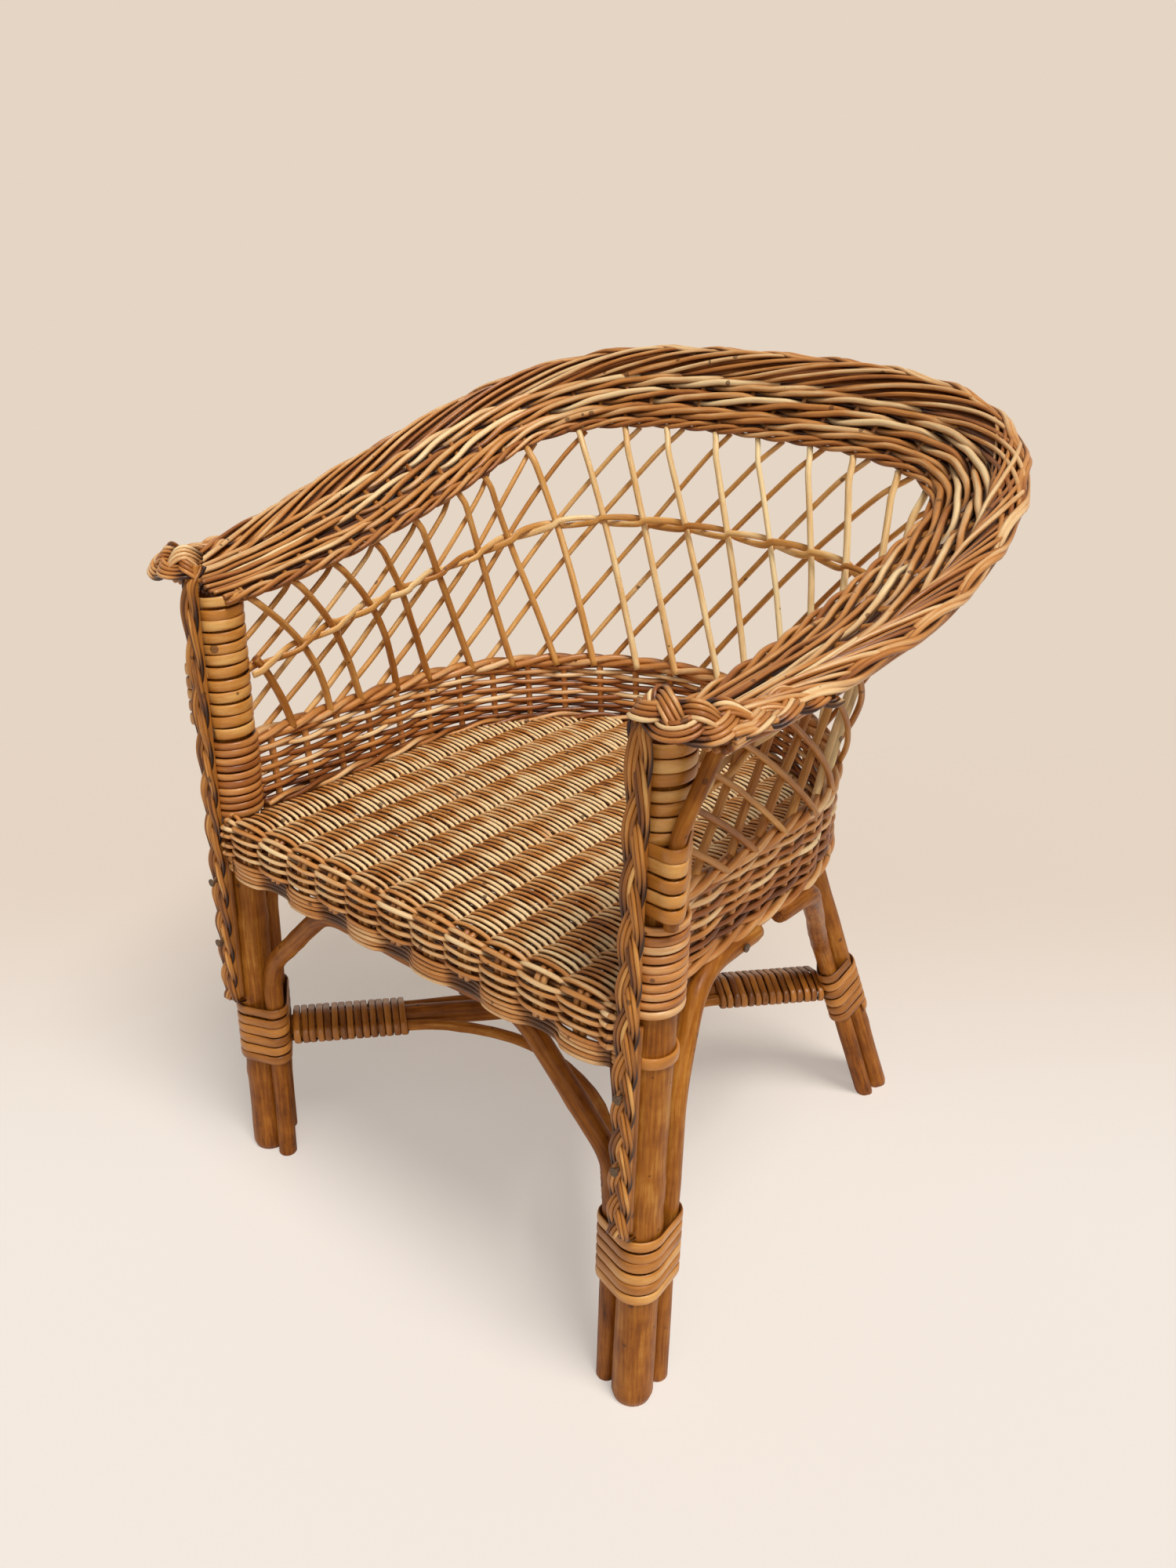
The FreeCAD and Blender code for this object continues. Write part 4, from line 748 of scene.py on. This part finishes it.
def twisted(made, mid, out, strands, swing, repeat, rod_r, tint):
    """Rods twisted together along a line, with painted shade by their height over its face."""
    run = lengths(mid)
    side = np.cross(out, unit(np.gradient(mid, axis=0)))
    for k in range(strands):
        theta = 2 * math.pi * (run / repeat + k / strands)
        path = mid + out * (swing * np.cos(theta))[:, None] + side * (swing * np.sin(theta))[:, None]
        tone = varied(tint, run, spread=0.12, wave=200.0, size=0.12)
        made.rod(path, uneven(rod_r, run, wave=150.0, size=0.07), face=out, tint=tone, mid=mid,
                 reach=swing + rod_r, layered=True, flank_shade=0.0)


wall = Weave()
for k in range(WALL_ROWS):
    mid = wall_line(FIRST_ROW + ROWS_SPAN * k / (WALL_ROWS - 1))
    run = lengths(mid)
    swing = np.sin(math.pi * (run / run[-1] * WALL_STAKES + k))
    out = plan_out(mid)
    path = mid + out * (WALL_WAVE * swing)[:, None]
    path[:, 2] += slow_noise(run, wave=130.0, size=0.8)
    tone = varied(0.37, run, spread=0.22, wave=230.0, size=0.18)
    # Painted shade by each rod's depth in the weave
    wall.rod(path, uneven(WALL_ROD_R, run, wave=200.0, size=0.1), face=out, tint=tone, mid=mid,
             reach=2.8, layered=True, flank_shade=0.2)
for height, swing in WALL_ROPES:
    mid = wall_line(height)
    twisted(wall, mid, plan_out(mid), strands=3, swing=swing, repeat=74.0, rod_r=2.6, tint=0.55)
skirt = wall_line(height=0.16, inwards=4.5)
twisted(wall, skirt, plan_out(skirt), strands=2, swing=1.9, repeat=60.0, rod_r=1.9, tint=0.5)
rows = [wall_line(h) for h in np.linspace(-0.02, 1.0, 8)]
for k in range(WALL_STAKES):
    share = (k + 0.5) / WALL_STAKES
    path = np.array([along(r, share * lengths(r)[-1]) for r in rows])
    wall.rod(resample(path, POLE_STEP), radius=2.5, face=(0.3, 0.9, 0.1),
             tint=0.42 + rng.normal(0, STAKE_SPREAD))
wall.piece("woven_wall_rods", WEAVE, "weave", "woven_wall")

# Rim, lattice and border follow the same curves

FRONT_NARROW, NARROW_LONG, CURVE_STEP = 10.0, 0.16, 0.01


class RoundedU:
    """U-shaped curve, from share 0 of its length at the left front to share 1 at the right front."""

    def __init__(self, half_width, middle_y, back, power, taper, front_y, front_z, back_z, rise):
        y = front_y + (middle_y - front_y) * np.arange(60) / 60
        turn = math.pi / 2 * np.arange(161) / 160
        x = np.concatenate([half_width + taper * (middle_y - y),
                            half_width * np.maximum(np.cos(turn), 0.0) ** (2 / power)])
        y = np.concatenate([y, middle_y + back * np.sin(turn) ** (2 / power)])
        z = front_z + (back_z - front_z) * ((y - front_y) / (middle_y + back - front_y)) ** rise
        self.path = np.vstack([points(-x, y, z), points(x, y, z)[-2::-1]])
        self.total = lengths(self.path)[-1]

    def spot(self, share):
        """Point at a share of the length; past either end the curve runs straight forward."""
        inside = np.clip(share, 0.0, 1.0)
        place = along(self.path, inside * self.total)
        place[:, 1] -= np.abs(share - inside) * self.total
        return place

    def step(self, share):
        return self.spot(share + CURVE_STEP) - self.spot(share - CURVE_STEP)


rim_inner = RoundedU(half_width=162.6, middle_y=251.5, back=78.6, power=2.86, taper=-0.03,
                     front_y=1.0, front_z=421.6, back_z=494.6, rise=1.69)
rim_outer = RoundedU(half_width=237.5, middle_y=140.6, back=219.5, power=3.04, taper=-0.086,
                     front_y=-8.0, front_z=439.0, back_z=546.0, rise=1.757)
crest = RoundedU(half_width=166.5, middle_y=144.0, back=166.5, power=2.0, taper=0.0,
                 front_y=28.0, front_z=WALL_TOP, back_z=WALL_TOP, rise=1.0)
hem = RoundedU(half_width=166.6, middle_y=251.5, back=81.6, power=2.86, taper=-0.02,
               front_y=28.0, front_z=423.6, back_z=497.6, rise=1.69)


def rim_frame(share):
    """Inner edge, width, way across and upward normal of the rim at shares of its length."""
    near = rim_inner.spot(share)
    across = rim_outer.spot(share) - near
    wide = np.linalg.norm(across, axis=-1)
    across = across / wide[:, None]
    wide = wide - FRONT_NARROW * (1 - ease(0.0, NARROW_LONG, np.minimum(share, 1 - share)))
    up = unit(np.cross(across, unit(rim_inner.step(share))))
    return near, wide, across, up * np.sign(up[:, 2:3])


# Lattice: an inner and an outer set of leaning rods. Heights run from the wall's crest to the hem.

LATTICE_PITCH, LAYER = 0.043, 2.92
INNER_PHASE, INNER_SHIFT = 0.497, -0.078
LATTICE_LOW, LATTICE_TOP, LATTICE_OVER, LEAST_HIGH = -0.04, 0.965, 0.014, 0.15
LEFT_BULGE, PITCH_SPREAD, LEAN_WAVE, LEAN_RATE = 0.013, 0.0018, 0.004, 2.6
LEAN_PHASE, TUCK_OUT, ROD_SPREAD, ROD_TAPER = 6.0, 5.0, 0.05, 0.12
INNER_TINT, BACK_PALER, RIGHT_DARKER, OUTER_TINT, OUTER_DARKER = 0.3, 0.5, 0.9, 0.5, 0.2


def lattice_spot(share, height, offset):
    """Point and outward way at a share round the back, a height and an offset from the middle."""
    low, high = crest.spot(share), hem.spot(share)
    height = np.asarray(height, float)[:, None]
    ahead = crest.step(share) * (1 - height) + hem.step(share) * height
    out = unit(np.cross(high - low, ahead))
    return low * (1 - height) + high * height + out * np.reshape(offset, (-1, 1)), out


def left_bend(start, height):
    """How far the rods near the left arm bend out of straight."""
    return LEFT_BULGE * (1 - ease(low=0.04, high=0.3, value=start)) * np.sin(math.pi * height)


def inner_tint(share):
    """Dark at the left arm, pale across the back, dark again at the right arm."""
    back = ease(low=0.16, high=0.5, value=share)
    right_arm = ease(low=0.72, high=0.86, value=share)
    return INNER_TINT + BACK_PALER * back * (1 - RIGHT_DARKER * right_arm)


def outer_tint(share):
    return OUTER_TINT - OUTER_DARKER * ease(low=0.4, high=0.8, value=share)


def lattice_set(name, phase, shift, offset, radius, tint_of, bulge):
    made = Weave()
    first = int((phase + abs(shift)) / LATTICE_PITCH)
    for k in range(-first, int((1 + abs(shift) - phase) / LATTICE_PITCH) + 1):
        start = phase + k * LATTICE_PITCH + rng.normal(0, PITCH_SPREAD)
        cuts = sorted(((-LATTICE_OVER - start) / shift, (1 + LATTICE_OVER - start) / shift))
        low, high = max(LATTICE_LOW, cuts[0]), min(LATTICE_TOP, cuts[1])
        if high - low < LEAST_HIGH:
            continue
        height = np.linspace(low, high, 44)
        lean = np.sin(LEAN_RATE * height + rng.uniform(0, LEAN_PHASE))
        share = start + shift * height + LEAN_WAVE * lean
        share = share + bulge * left_bend(start, height)
        sway = slow_noise(height, wave=0.8, size=0.5)
        tuck = TUCK_OUT * ease(low=0.86, high=0.97, value=height)
        path, out = lattice_spot(share, height, offset + sway + tuck)
        thick = radius * (1.0 + rng.normal(0, ROD_SPREAD) - ROD_TAPER * height)
        tone = varied(tint_of(share.mean()), height, spread=0.08, wave=1.2, size=0.08)
        made.rod(path, thick, face=out, sides=10, tint=tone)
    made.piece(name + "_set", LATTICE, "lattice", name)


lattice_set("inner_lattice_rods", INNER_PHASE, INNER_SHIFT, offset=-LAYER, radius=2.5,
            tint_of=inner_tint, bulge=1.0)
lattice_set("outer_lattice_rods", phase=0.393, shift=0.175, offset=LAYER, radius=2.05,
            tint_of=outer_tint, bulge=0.0)

# Twined row across the lattice: one strand before each rod, the other behind it

ROW_START, ROW_HEIGHT, LEFT_DIP, RIGHT_DIP, DIP_LONG, DIP_POWER = -0.01, 0.58, 0.13, 0.24, 0.13, 1.6
KINK, KINK_POWER, BEFORE_ROD, BEHIND_ROD = 0.014, 0.35, 4.2, 3.2
ROW_WIDE, ROW_TINT, STRAND_TINT = 4.6, 0.42, 0.22

share = np.linspace(ROW_START, 1.0, 420)
row_height = ROW_HEIGHT - LEFT_DIP * np.maximum(0, 1 - share / DIP_LONG) ** DIP_POWER
row_height = row_height - RIGHT_DIP * np.maximum(0, 1 - (1 - share) / DIP_LONG) ** DIP_POWER
start = share - INNER_SHIFT * row_height
beat = (start - left_bend(start, row_height) - INNER_PHASE) / LATTICE_PITCH
row = Weave()
for strand in (0, 1):
    swing = np.cos(math.pi * (beat + strand))
    kink = sharpened(np.sin(math.pi * (beat + strand)), KINK_POWER)
    offset = -LAYER - np.where(swing > 0, BEFORE_ROD, BEHIND_ROD) * swing
    path, out = lattice_spot(share, row_height + KINK * kink, offset)
    breadth = ROW_WIDE + slow_noise(share, wave=0.15, size=0.7)
    tone = ROW_TINT + STRAND_TINT * strand + slow_noise(share, wave=0.2, size=0.16)
    row.rod(path, radius=1.4, face=out, sides=12, width=breadth, tint=tone)
row.piece("lattice_row_strands", LATTICE, "lattice", "lattice_row")

# Rim: three rows of waling that straighten into parallel rods along the arms

RIM_DEEP, BORDER_ROOM, EDGE_ROOM, ARM_EDGE_ROOM = 9.0, 20.0, 5.5, 4.0
RIM_ROWS, RIM_STRANDS, WALE_REPEAT, ROW_LAG, WALE_SKEW = 3, 3, 112.0, 0.21, 0.5
WALE_ROD_R, ARM_ROD_R, WALE_RISE, WALE_SWING = 2.4, 2.0, 3.2, 0.34
STRAIGHT_TO, WALED_FROM, ARM_RISE, ARM_SPREAD, STAKES_FROM = 0.07, 0.2, 1.0, 1.1, 0.02
RIM_TINT, RIM_TONES, EDGE_TINT, EDGE_R, EDGE_IN = 0.56, (-0.12, 0.2), 0.58, 1.75, 2.2
UNDER_RODS, UNDER_DOWN, UNDER_LIT = 10, 2.6, 2.4
RIM_STAKES, RIM_STAKE_DOWN, RIM_STAKE_ROOM = 48, 1.2, 10.0

rim = Weave()
share = np.linspace(0.004, 0.996, 320)
near, wide, across, up = rim_frame(share)
rim_length = (rim_inner.total + rim_outer.total) / 2
run = share * rim_length
straight = 1 - ease(STRAIGHT_TO, WALED_FROM, share) * ease(STRAIGHT_TO, WALED_FROM, 1 - share)
edge_room = EDGE_ROOM + ARM_EDGE_ROOM * straight
band = (wide - BORDER_ROOM - edge_room) / RIM_ROWS
for k in range(RIM_ROWS):
    mid = near + across * (edge_room + band * (k + 0.5))[:, None] - up * (RIM_DEEP / 2)
    for strand in range(RIM_STRANDS):
        turn = 2 * math.pi * (run / WALE_REPEAT + strand / RIM_STRANDS + ROW_LAG * k)
        turn = turn - WALE_SKEW * np.sin(turn)
        spread = (strand - (RIM_STRANDS - 1) / 2) * band / RIM_STRANDS
        sideways = (1 - straight) * band * WALE_SWING * np.sin(turn) + straight * spread
        arm_height = ARM_RISE + rng.normal(0, ARM_SPREAD)
        height = (1 - straight) * WALE_RISE * np.cos(turn) + straight * arm_height
        sideways = sideways + slow_noise(run, wave=110.0, size=0.9)
        height = height + slow_noise(run, wave=130.0, size=0.5)
        path = mid + across * sideways[:, None] + up * height[:, None]
        tone = varied(RIM_TINT + rng.choice(RIM_TONES), run, spread=0.1, wave=240.0, size=0.18)
        thick = WALE_ROD_R + (ARM_ROD_R - WALE_ROD_R) * straight
        thick = uneven(thick, run, wave=260.0, size=0.09)
        # Painted shade by each rod's height in the waling
        rim.rod(path, thick, face=up, tint=tone, mid=mid, reach=WALE_RISE + WALE_ROD_R, layered=True)
# Dark rods under the rim: painted shade in the gaps between the rods above
for k in range(UNDER_RODS):
    reach = edge_room + (wide - BORDER_ROOM - edge_room) * (k + 0.5) / UNDER_RODS
    reach = reach + slow_noise(run, wave=150.0, size=0.8)
    path = near + across * reach[:, None] - up * (RIM_DEEP / 2 + UNDER_DOWN)
    rim.rod(path, radius=2.2, face=up, tint=0.2, mid=path + up * UNDER_LIT, reach=4.0, layered=True)
edge_mid = near + across * EDGE_IN - up * (RIM_DEEP / 2)
twisted(rim, edge_mid, up, strands=3, swing=2.3, repeat=66.0, rod_r=EDGE_R, tint=EDGE_TINT)
for k in range(RIM_STAKES):
    at_share = np.full(12, STAKES_FROM + (1 - 2 * STAKES_FROM) * k / (RIM_STAKES - 1))
    s_near, s_wide, s_across, s_up = rim_frame(at_share)
    reach = np.linspace(0.0, s_wide[0] - RIM_STAKE_ROOM, 12)
    path = s_near + s_across * reach[:, None] - s_up * (RIM_DEEP / 2 + RIM_STAKE_DOWN)
    rim.rod(path, radius=1.9, face=s_up, tint=0.3 + rng.normal(0, STAKE_SPREAD))
rim.piece("rim_weave_rods", WEAVE, "weave", "rim_weave")

# Border: bundles of rods laid from the rim's face over its outer edge and under two edge strands

BORDER_IN, BORDER_DOWN, BORDER_WIDE, BORDER_HIGH = 13.0, 5.4, 12.0, 5.4
LONG_BUNDLES = {"step": 82.0, "long": 165.0, "stagger": 23.0, "rod_r": 1.6}
SHORT_BUNDLES = {"step": 50.0, "long": 96.0, "stagger": 14.5, "rod_r": 1.5}
BUNDLE_RODS, BORDER_MEET, BUNDLE_LEAD, BORDER_FRONT, LEAST_POINTS = 4, 0.70, 0.7, 6.0, 6
LAY_FROM, LAY_SWEEP, LAY_LOW, LAY_RISE, LAY_SINK, LAY_STACK = -72.0, 185.0, -0.8, 3.0, 3.6, 0.9
BORDER_TINT, BORDER_TONES, CORE_DEPTH = 0.5, (-0.12, 0.16), -2.6
START_SPREAD, BUNDLE_SPREAD, THICK_SPREAD = 2.0, 0.07, 0.06
EDGE_STRANDS, EDGE_REPEAT, EDGE_ANGLE, EDGE_WAVE, EDGE_APART = 2, 88.0, 86.0, 26.0, 0.14
EDGE_LIFT, EDGE_SWING = 0.2, 1.2
LINING_ANGLES, CORE_THINNER, CORE_NARROWER = (135, 160, 185, 210, 235), 2.2, 5.0


def border_middle(share):
    near, wide, across, up = rim_frame(share)
    return near + across * (wide - BORDER_IN)[:, None] - up * BORDER_DOWN, across, up


def border_spot(share, angle, lift):
    """Point and outward way on the border's section: angle 0 on top, a quarter turn at the edge."""
    middle, across, up = border_middle(share)
    rise, reach = np.cos(angle)[:, None], np.sin(angle)[:, None]
    out = unit(across * reach / BORDER_WIDE + up * rise / BORDER_HIGH)
    place = middle + across * reach * BORDER_WIDE + up * rise * BORDER_HIGH
    return place + out * np.reshape(lift, (-1, 1)), out


def border_rod(made, share, angle, lift, radius, tint):
    """One rod on the border's section, with painted shade by its height over the core."""
    path, out = border_spot(share, angle, lift)
    mid, out = border_spot(share, angle, np.full_like(share, CORE_DEPTH))
    made.rod(path, radius, face=out, tint=tint, mid=mid, reach=5.5)


def border_bundles(made, hand, lay):
    """Bundles from one arm's front towards the meeting place at the back."""
    reach = (BORDER_MEET if hand > 0 else 1 - BORDER_MEET) * rim_length
    for start in np.arange(-lay["long"] * BUNDLE_LEAD, reach - lay["long"] / 2, lay["step"]):
        start = start + rng.normal(0, START_SPREAD)
        tint = BORDER_TINT + rng.normal(0, BUNDLE_SPREAD)
        for k in range(BUNDLE_RODS):
            t = np.linspace(0, 1, 56)
            distance = start + k * lay["stagger"] + lay["long"] * t
            on_rim = distance > BORDER_FRONT
            t, distance = t[on_rim], distance[on_rim]
            if len(t) < LEAST_POINTS:
                continue
            share = distance / rim_length
            share = share if hand > 0 else 1 - share
            angle = np.radians(LAY_FROM + LAY_SWEEP * t + slow_noise(t, wave=0.9, size=2.5))
            over = ease(low=0.0, high=0.3, value=t)
            under = ease(low=0.6, high=0.9, value=t)
            lift = LAY_LOW + LAY_RISE * over - LAY_SINK * under - LAY_STACK * k
            tone = tint + rng.choice(BORDER_TONES)
            tone = varied(tone, distance, spread=0.1, wave=90.0, size=0.1)
            radius = lay["rod_r"] * (1 + rng.normal(0, THICK_SPREAD))
            border_rod(made, share, angle, lift, radius, tone)


border = Weave()
border_bundles(border, 1, LONG_BUNDLES)
border_bundles(border, -1, SHORT_BUNDLES)
share = np.linspace(0.006, 0.994, 360)
run = share * rim_length
for strand in range(EDGE_STRANDS):
    turn = 2 * math.pi * (run / EDGE_REPEAT + strand / EDGE_STRANDS)
    for beside in (-1, 1):
        angle = np.radians(EDGE_ANGLE + EDGE_WAVE * np.cos(turn)) + beside * EDGE_APART
        lift = EDGE_LIFT + EDGE_SWING * np.sin(turn) + slow_noise(run, wave=120.0, size=0.4)
        tone = varied(EDGE_TINT, run, spread=0.1, wave=180.0, size=0.16)
        border_rod(border, share, angle, lift, uneven(EDGE_R, run, wave=150.0, size=0.07), tone)
for angle in np.radians(LINING_ANGLES):
    lift = slow_noise(run, wave=120.0, size=0.5)
    path, out = border_spot(share, np.full_like(share, angle), lift)
    border.rod(path, radius=2.0, face=out, tint=0.4 + rng.normal(0, 0.1))
# Near-black core under the bundles: painted shade in the gaps between them
core, across, up = border_middle(share)
border.rod(core, BORDER_HIGH - CORE_THINNER, face=up, width=2 * BORDER_WIDE - CORE_NARROWER, sides=16,
           tint=0.05)
border.piece("rim_border_bundles", WEAVE, "weave", "rim_border")

# Plaits of three strands: a slender one up each post, a broad one across each arm's front

PLAIT_LOW, PLAIT_TOP, PLAIT_OUT, PLAIT_STEP = 133.0, 412.0, 21.6, 2.0
PLAIT_STRANDS, PLAIT_DWELL, PLAIT_SINK, PLAIT_PACK = 3, 0.9, 6.0, 1.94
STRAND_ARCH, SHADE_DOWN, SHADE_REACH = 0.3, 1.4, 1.7
PLAIT_TINT, ARM_PLAIT_TINT = {-1: 0.32, 1: 0.38}, 0.56
POST_PLAIT = {"repeat": (56.0, 104.0), "reach": 4.3, "lift": 1.1, "rods": 3, "rod_r": 1.2,
              "sink_in": 0.1, "sink_out": 14.0, "flank_shade": 0.15}
ARM_PLAIT = {"repeat": (58.0, 58.0), "reach": 6.4, "lift": 1.9, "rods": 4, "rod_r": 1.3,
             "sink_in": 8.0, "sink_out": 30.0, "flank_shade": FLANK_SHADE}
CORE_APART, CORE_BACK, BARE_TOP, BARE_OUT = 3.0, 3.0, 268.0, 15.4
POST_TUCK = ((171.5, -11.0, 428.0), (172.0, -8.0, 440.0))
ARM_FRONT = (
    ((169.0, -3.0, 441.0), (-0.5, -0.5, 0.7)),
    ((175.0, -10.0, 442.0), (-0.1, -0.75, 0.65)),
    ((186.0, -13.5, 440.0), (0.0, -0.8, 0.6)),
    ((197.0, -12.0, 438.0), (0.15, -0.8, 0.6)),
    ((206.0, -4.0, 439.0), (0.6, -0.5, 0.6)))
ARM_TAIL, ARM_TAIL_ANGLE = (0.03, 0.05, 0.07), 40
FORWARD = (0.0, -1.0, 0.0)


def plait(made, knots, tint, repeat, reach, lift, rods, rod_r, sink_in, sink_out, flank_shade):
    """Strands plaited along knots of place and normal, with a repeat for each end."""
    path = resample(curve_through(knots, 10), PLAIT_STEP)
    line, normal = path[:, :3], unit(path[:, 3:])
    run = lengths(line)
    across = unit(np.cross(normal, unit(np.gradient(line, axis=0))))
    sink = PLAIT_SINK * (ease(sink_in, 0.0, run) + ease(run[-1] - sink_out, run[-1], run))
    rate = 2 * math.pi / np.interp(run, (0.0, run[-1]), repeat)
    turn = np.concatenate([[0.0], np.cumsum(rate[1:] * np.diff(run))])
    for strand in range(PLAIT_STRANDS):
        theta = turn + 2 * math.pi * strand / PLAIT_STRANDS
        lean = np.cos(np.arctan(reach * rate * np.cos(theta)))
        for k in range(rods):
            beside = k - (rods - 1) / 2
            sway = sharpened(np.sin(theta), PLAIT_DWELL)
            x = (reach * sway + beside * rod_r * PLAIT_PACK / lean)[:, None]
            h = -lift * np.sin(2 * theta) - STRAND_ARCH * rod_r * abs(beside) - sink
            # Painted shade by each rod's depth in the plait
            mid = line + across * x - normal * (lift * SHADE_DOWN + sink)[:, None]
            tone = varied(tint, run, spread=0.16, wave=110.0, size=0.10)
            thick = uneven(rod_r, run, wave=60.0, size=0.06)
            made.rod(line + across * x + normal * h[:, None], thick, face=normal, tint=tone, mid=mid,
                     reach=SHADE_REACH * lift + rod_r, flank_shade=flank_shade)


for word, side in SIDES:
    made = Weave()
    knots = []
    for z in np.linspace(PLAIT_LOW, PLAIT_TOP, 8):
        knots.append((*(post_axis(side, z) - np.array([0.0, PLAIT_OUT, 0.0])), *FORWARD))
    for x, y, z in POST_TUCK:
        knots.append((side * x, y, z, 0.0, -1.0, 0.2))
    knots = np.array(knots)
    plait(made, knots, PLAIT_TINT[side], **POST_PLAIT)
    for beside in (-CORE_APART, CORE_APART):
        core = curve_through(knots[:, :3]) + np.array([beside, CORE_BACK, 0.0])
        made.rod(core, radius=2.4, face=FORWARD, tint=0.36)
        # Dark bare rods behind the plait: painted shadow between the plait and the post
        bare = post_axis(side, np.linspace(PLAIT_LOW, BARE_TOP, 30)) + np.array([beside, -BARE_OUT, 0.0])
        made.rod(bare, radius=2.7, face=FORWARD, tint=0.15)
    made.piece(f"{word}_post_plait_strands", SKEIN, "weave", f"{word}_post_plait")
    made = Weave()
    knots = []
    for (x, y, z), (out, ahead, rise) in ARM_FRONT:
        knots.append((side * x, y, z, side * out, ahead, rise))
    tail = np.array(ARM_TAIL)
    angle = np.full(len(tail), math.radians(ARM_TAIL_ANGLE))
    place, out = border_spot(tail if side < 0 else 1 - tail, angle, np.zeros(len(tail)))
    knots = np.vstack([knots, np.hstack([place, out])])
    plait(made, knots, ARM_PLAIT_TINT, **ARM_PLAIT)
    made.piece(f"{word}_arm_plait_strands", WEAVE, "weave")

# Stage, light and camera

BACKDROP, FLOOR = (0.783, 0.665, 0.558, 1.0), (0.896, 0.823, 0.753, 1.0)
# The way the photo looks along the floor, and how much the camera sees the floor's plain colour
VIEW_WAY, FLOOR_LIT = (-0.639, 0.769, 0.0), 0.45
# Name, strength, breadth in degrees and where the light comes from
LAMPS = (("key", 2.65, 24.0, (0.6, -0.15, 1.3)), ("fill", 0.6, 60.0, (0.6, -0.8, 0.6)))


def stage_floor():
    """Pale floor that turns into the backdrop's tone behind the chair and ends in it."""
    size = 12.0
    mesh = bpy.data.meshes.new("floor")
    corners = [(-size, -size, 0), (size, -size, 0), (size, size, 0), (-size, size, 0)]
    mesh.from_pydata(corners, [], [(0, 1, 2, 3)])
    floor = add_object("floor", mesh)
    material = bpy.data.materials.new("pale_floor")
    graph = Graph(material)
    place = graph.add("TexCoord")["Object"]
    behind = graph.add("VectorMath", place, VIEW_WAY, settings={"operation": "DOT_PRODUCT"})["Value"]
    around = graph.add("VectorMath", place, settings={"operation": "LENGTH"})["Value"]
    tone = graph.math("MAXIMUM", graph.smooth(behind, low=-0.12, high=0.40),
                      graph.smooth(around, low=0.9, high=1.9))
    end = graph.math("MAXIMUM", graph.smooth(behind, low=0.45, high=0.95),
                     graph.smooth(around, low=1.9, high=2.8))
    colour = graph.mix(tone, FLOOR, BACKDROP)
    matt = graph.add("BsdfDiffuse", Color=colour)[0]
    lit = graph.add("Emission", Color=colour, Strength=1.0)[0]
    seen = graph.add("LightPath")["Is Camera Ray"]
    evened = graph.add("MixShader", graph.math("MULTIPLY", seen, FLOOR_LIT), matt, lit)[0]
    clear = graph.add("BsdfTransparent")[0]
    graph.add("OutputMaterial", graph.add("MixShader", end, evened, clear)[0])
    mesh.materials.append(material)


def place_object(obj, place, right, up, back):
    columns = np.eye(4)
    for k, column in enumerate((right, up, back, place)):
        columns[:3, k] = column
    obj.matrix_world = Matrix(columns.tolist())


def studio():
    """Soft light all round, a broad lamp high on the right and a broader, weaker one at the front.

    Together they give the floor about the light at which a colour shows as it is written.
    """
    world = bpy.data.worlds.new("studio")
    bpy.context.scene.world = world
    graph = Graph(world)
    soft = graph.add("Background", Color=(1.0, 0.985, 0.965, 1.0), Strength=0.15)[0]
    seen = graph.add("Background", Color=BACKDROP, Strength=1.0)[0]
    rays = graph.add("LightPath")
    shown = graph.math("MAXIMUM", rays["Is Camera Ray"], rays["Is Glossy Ray"])
    shown = graph.math("MAXIMUM", shown, rays["Is Transmission Ray"])
    graph.add("OutputWorld", graph.add("MixShader", shown, soft, seen)[0])
    for name, energy, breadth, place in LAMPS:
        lamp = bpy.data.lights.new(name, "SUN")
        lamp.energy = energy
        lamp.angle = math.radians(breadth)
        lamp.color = (1.0, 0.985, 0.96)
        back = unit(place)
        right = unit(np.cross(UP, back))
        place_object(add_object(name, lamp), place, right, np.cross(back, right), back)


def photo_camera():
    """Camera of the photograph: place in metres, bearing, height angle and roll in degrees."""
    place = (0.4915, -0.6024, 0.6460)
    bearing, tilt, roll = (math.radians(a) for a in (39.718, 24.945, 0.441))
    focal_px, frame_px, sensor = 1631.4, 2000, 36.0
    camera = bpy.data.cameras.new("camera")
    camera.sensor_width = sensor
    camera.lens = focal_px / frame_px * sensor
    camera.clip_start = 0.01
    obj = add_object("camera", camera)
    back = np.array([math.sin(bearing) * math.cos(tilt), -math.cos(bearing) * math.cos(tilt),
                     math.sin(tilt)])
    level = np.array([math.cos(bearing), math.sin(bearing), 0.0])
    rise = np.cross(back, level)
    place_object(obj, place, math.cos(roll) * level + math.sin(roll) * rise,
                 -math.sin(roll) * level + math.cos(roll) * rise, back)
    bpy.context.scene.camera = obj


stage_floor()
studio()
photo_camera()
bpy.context.scene.view_settings.view_transform = "Standard"
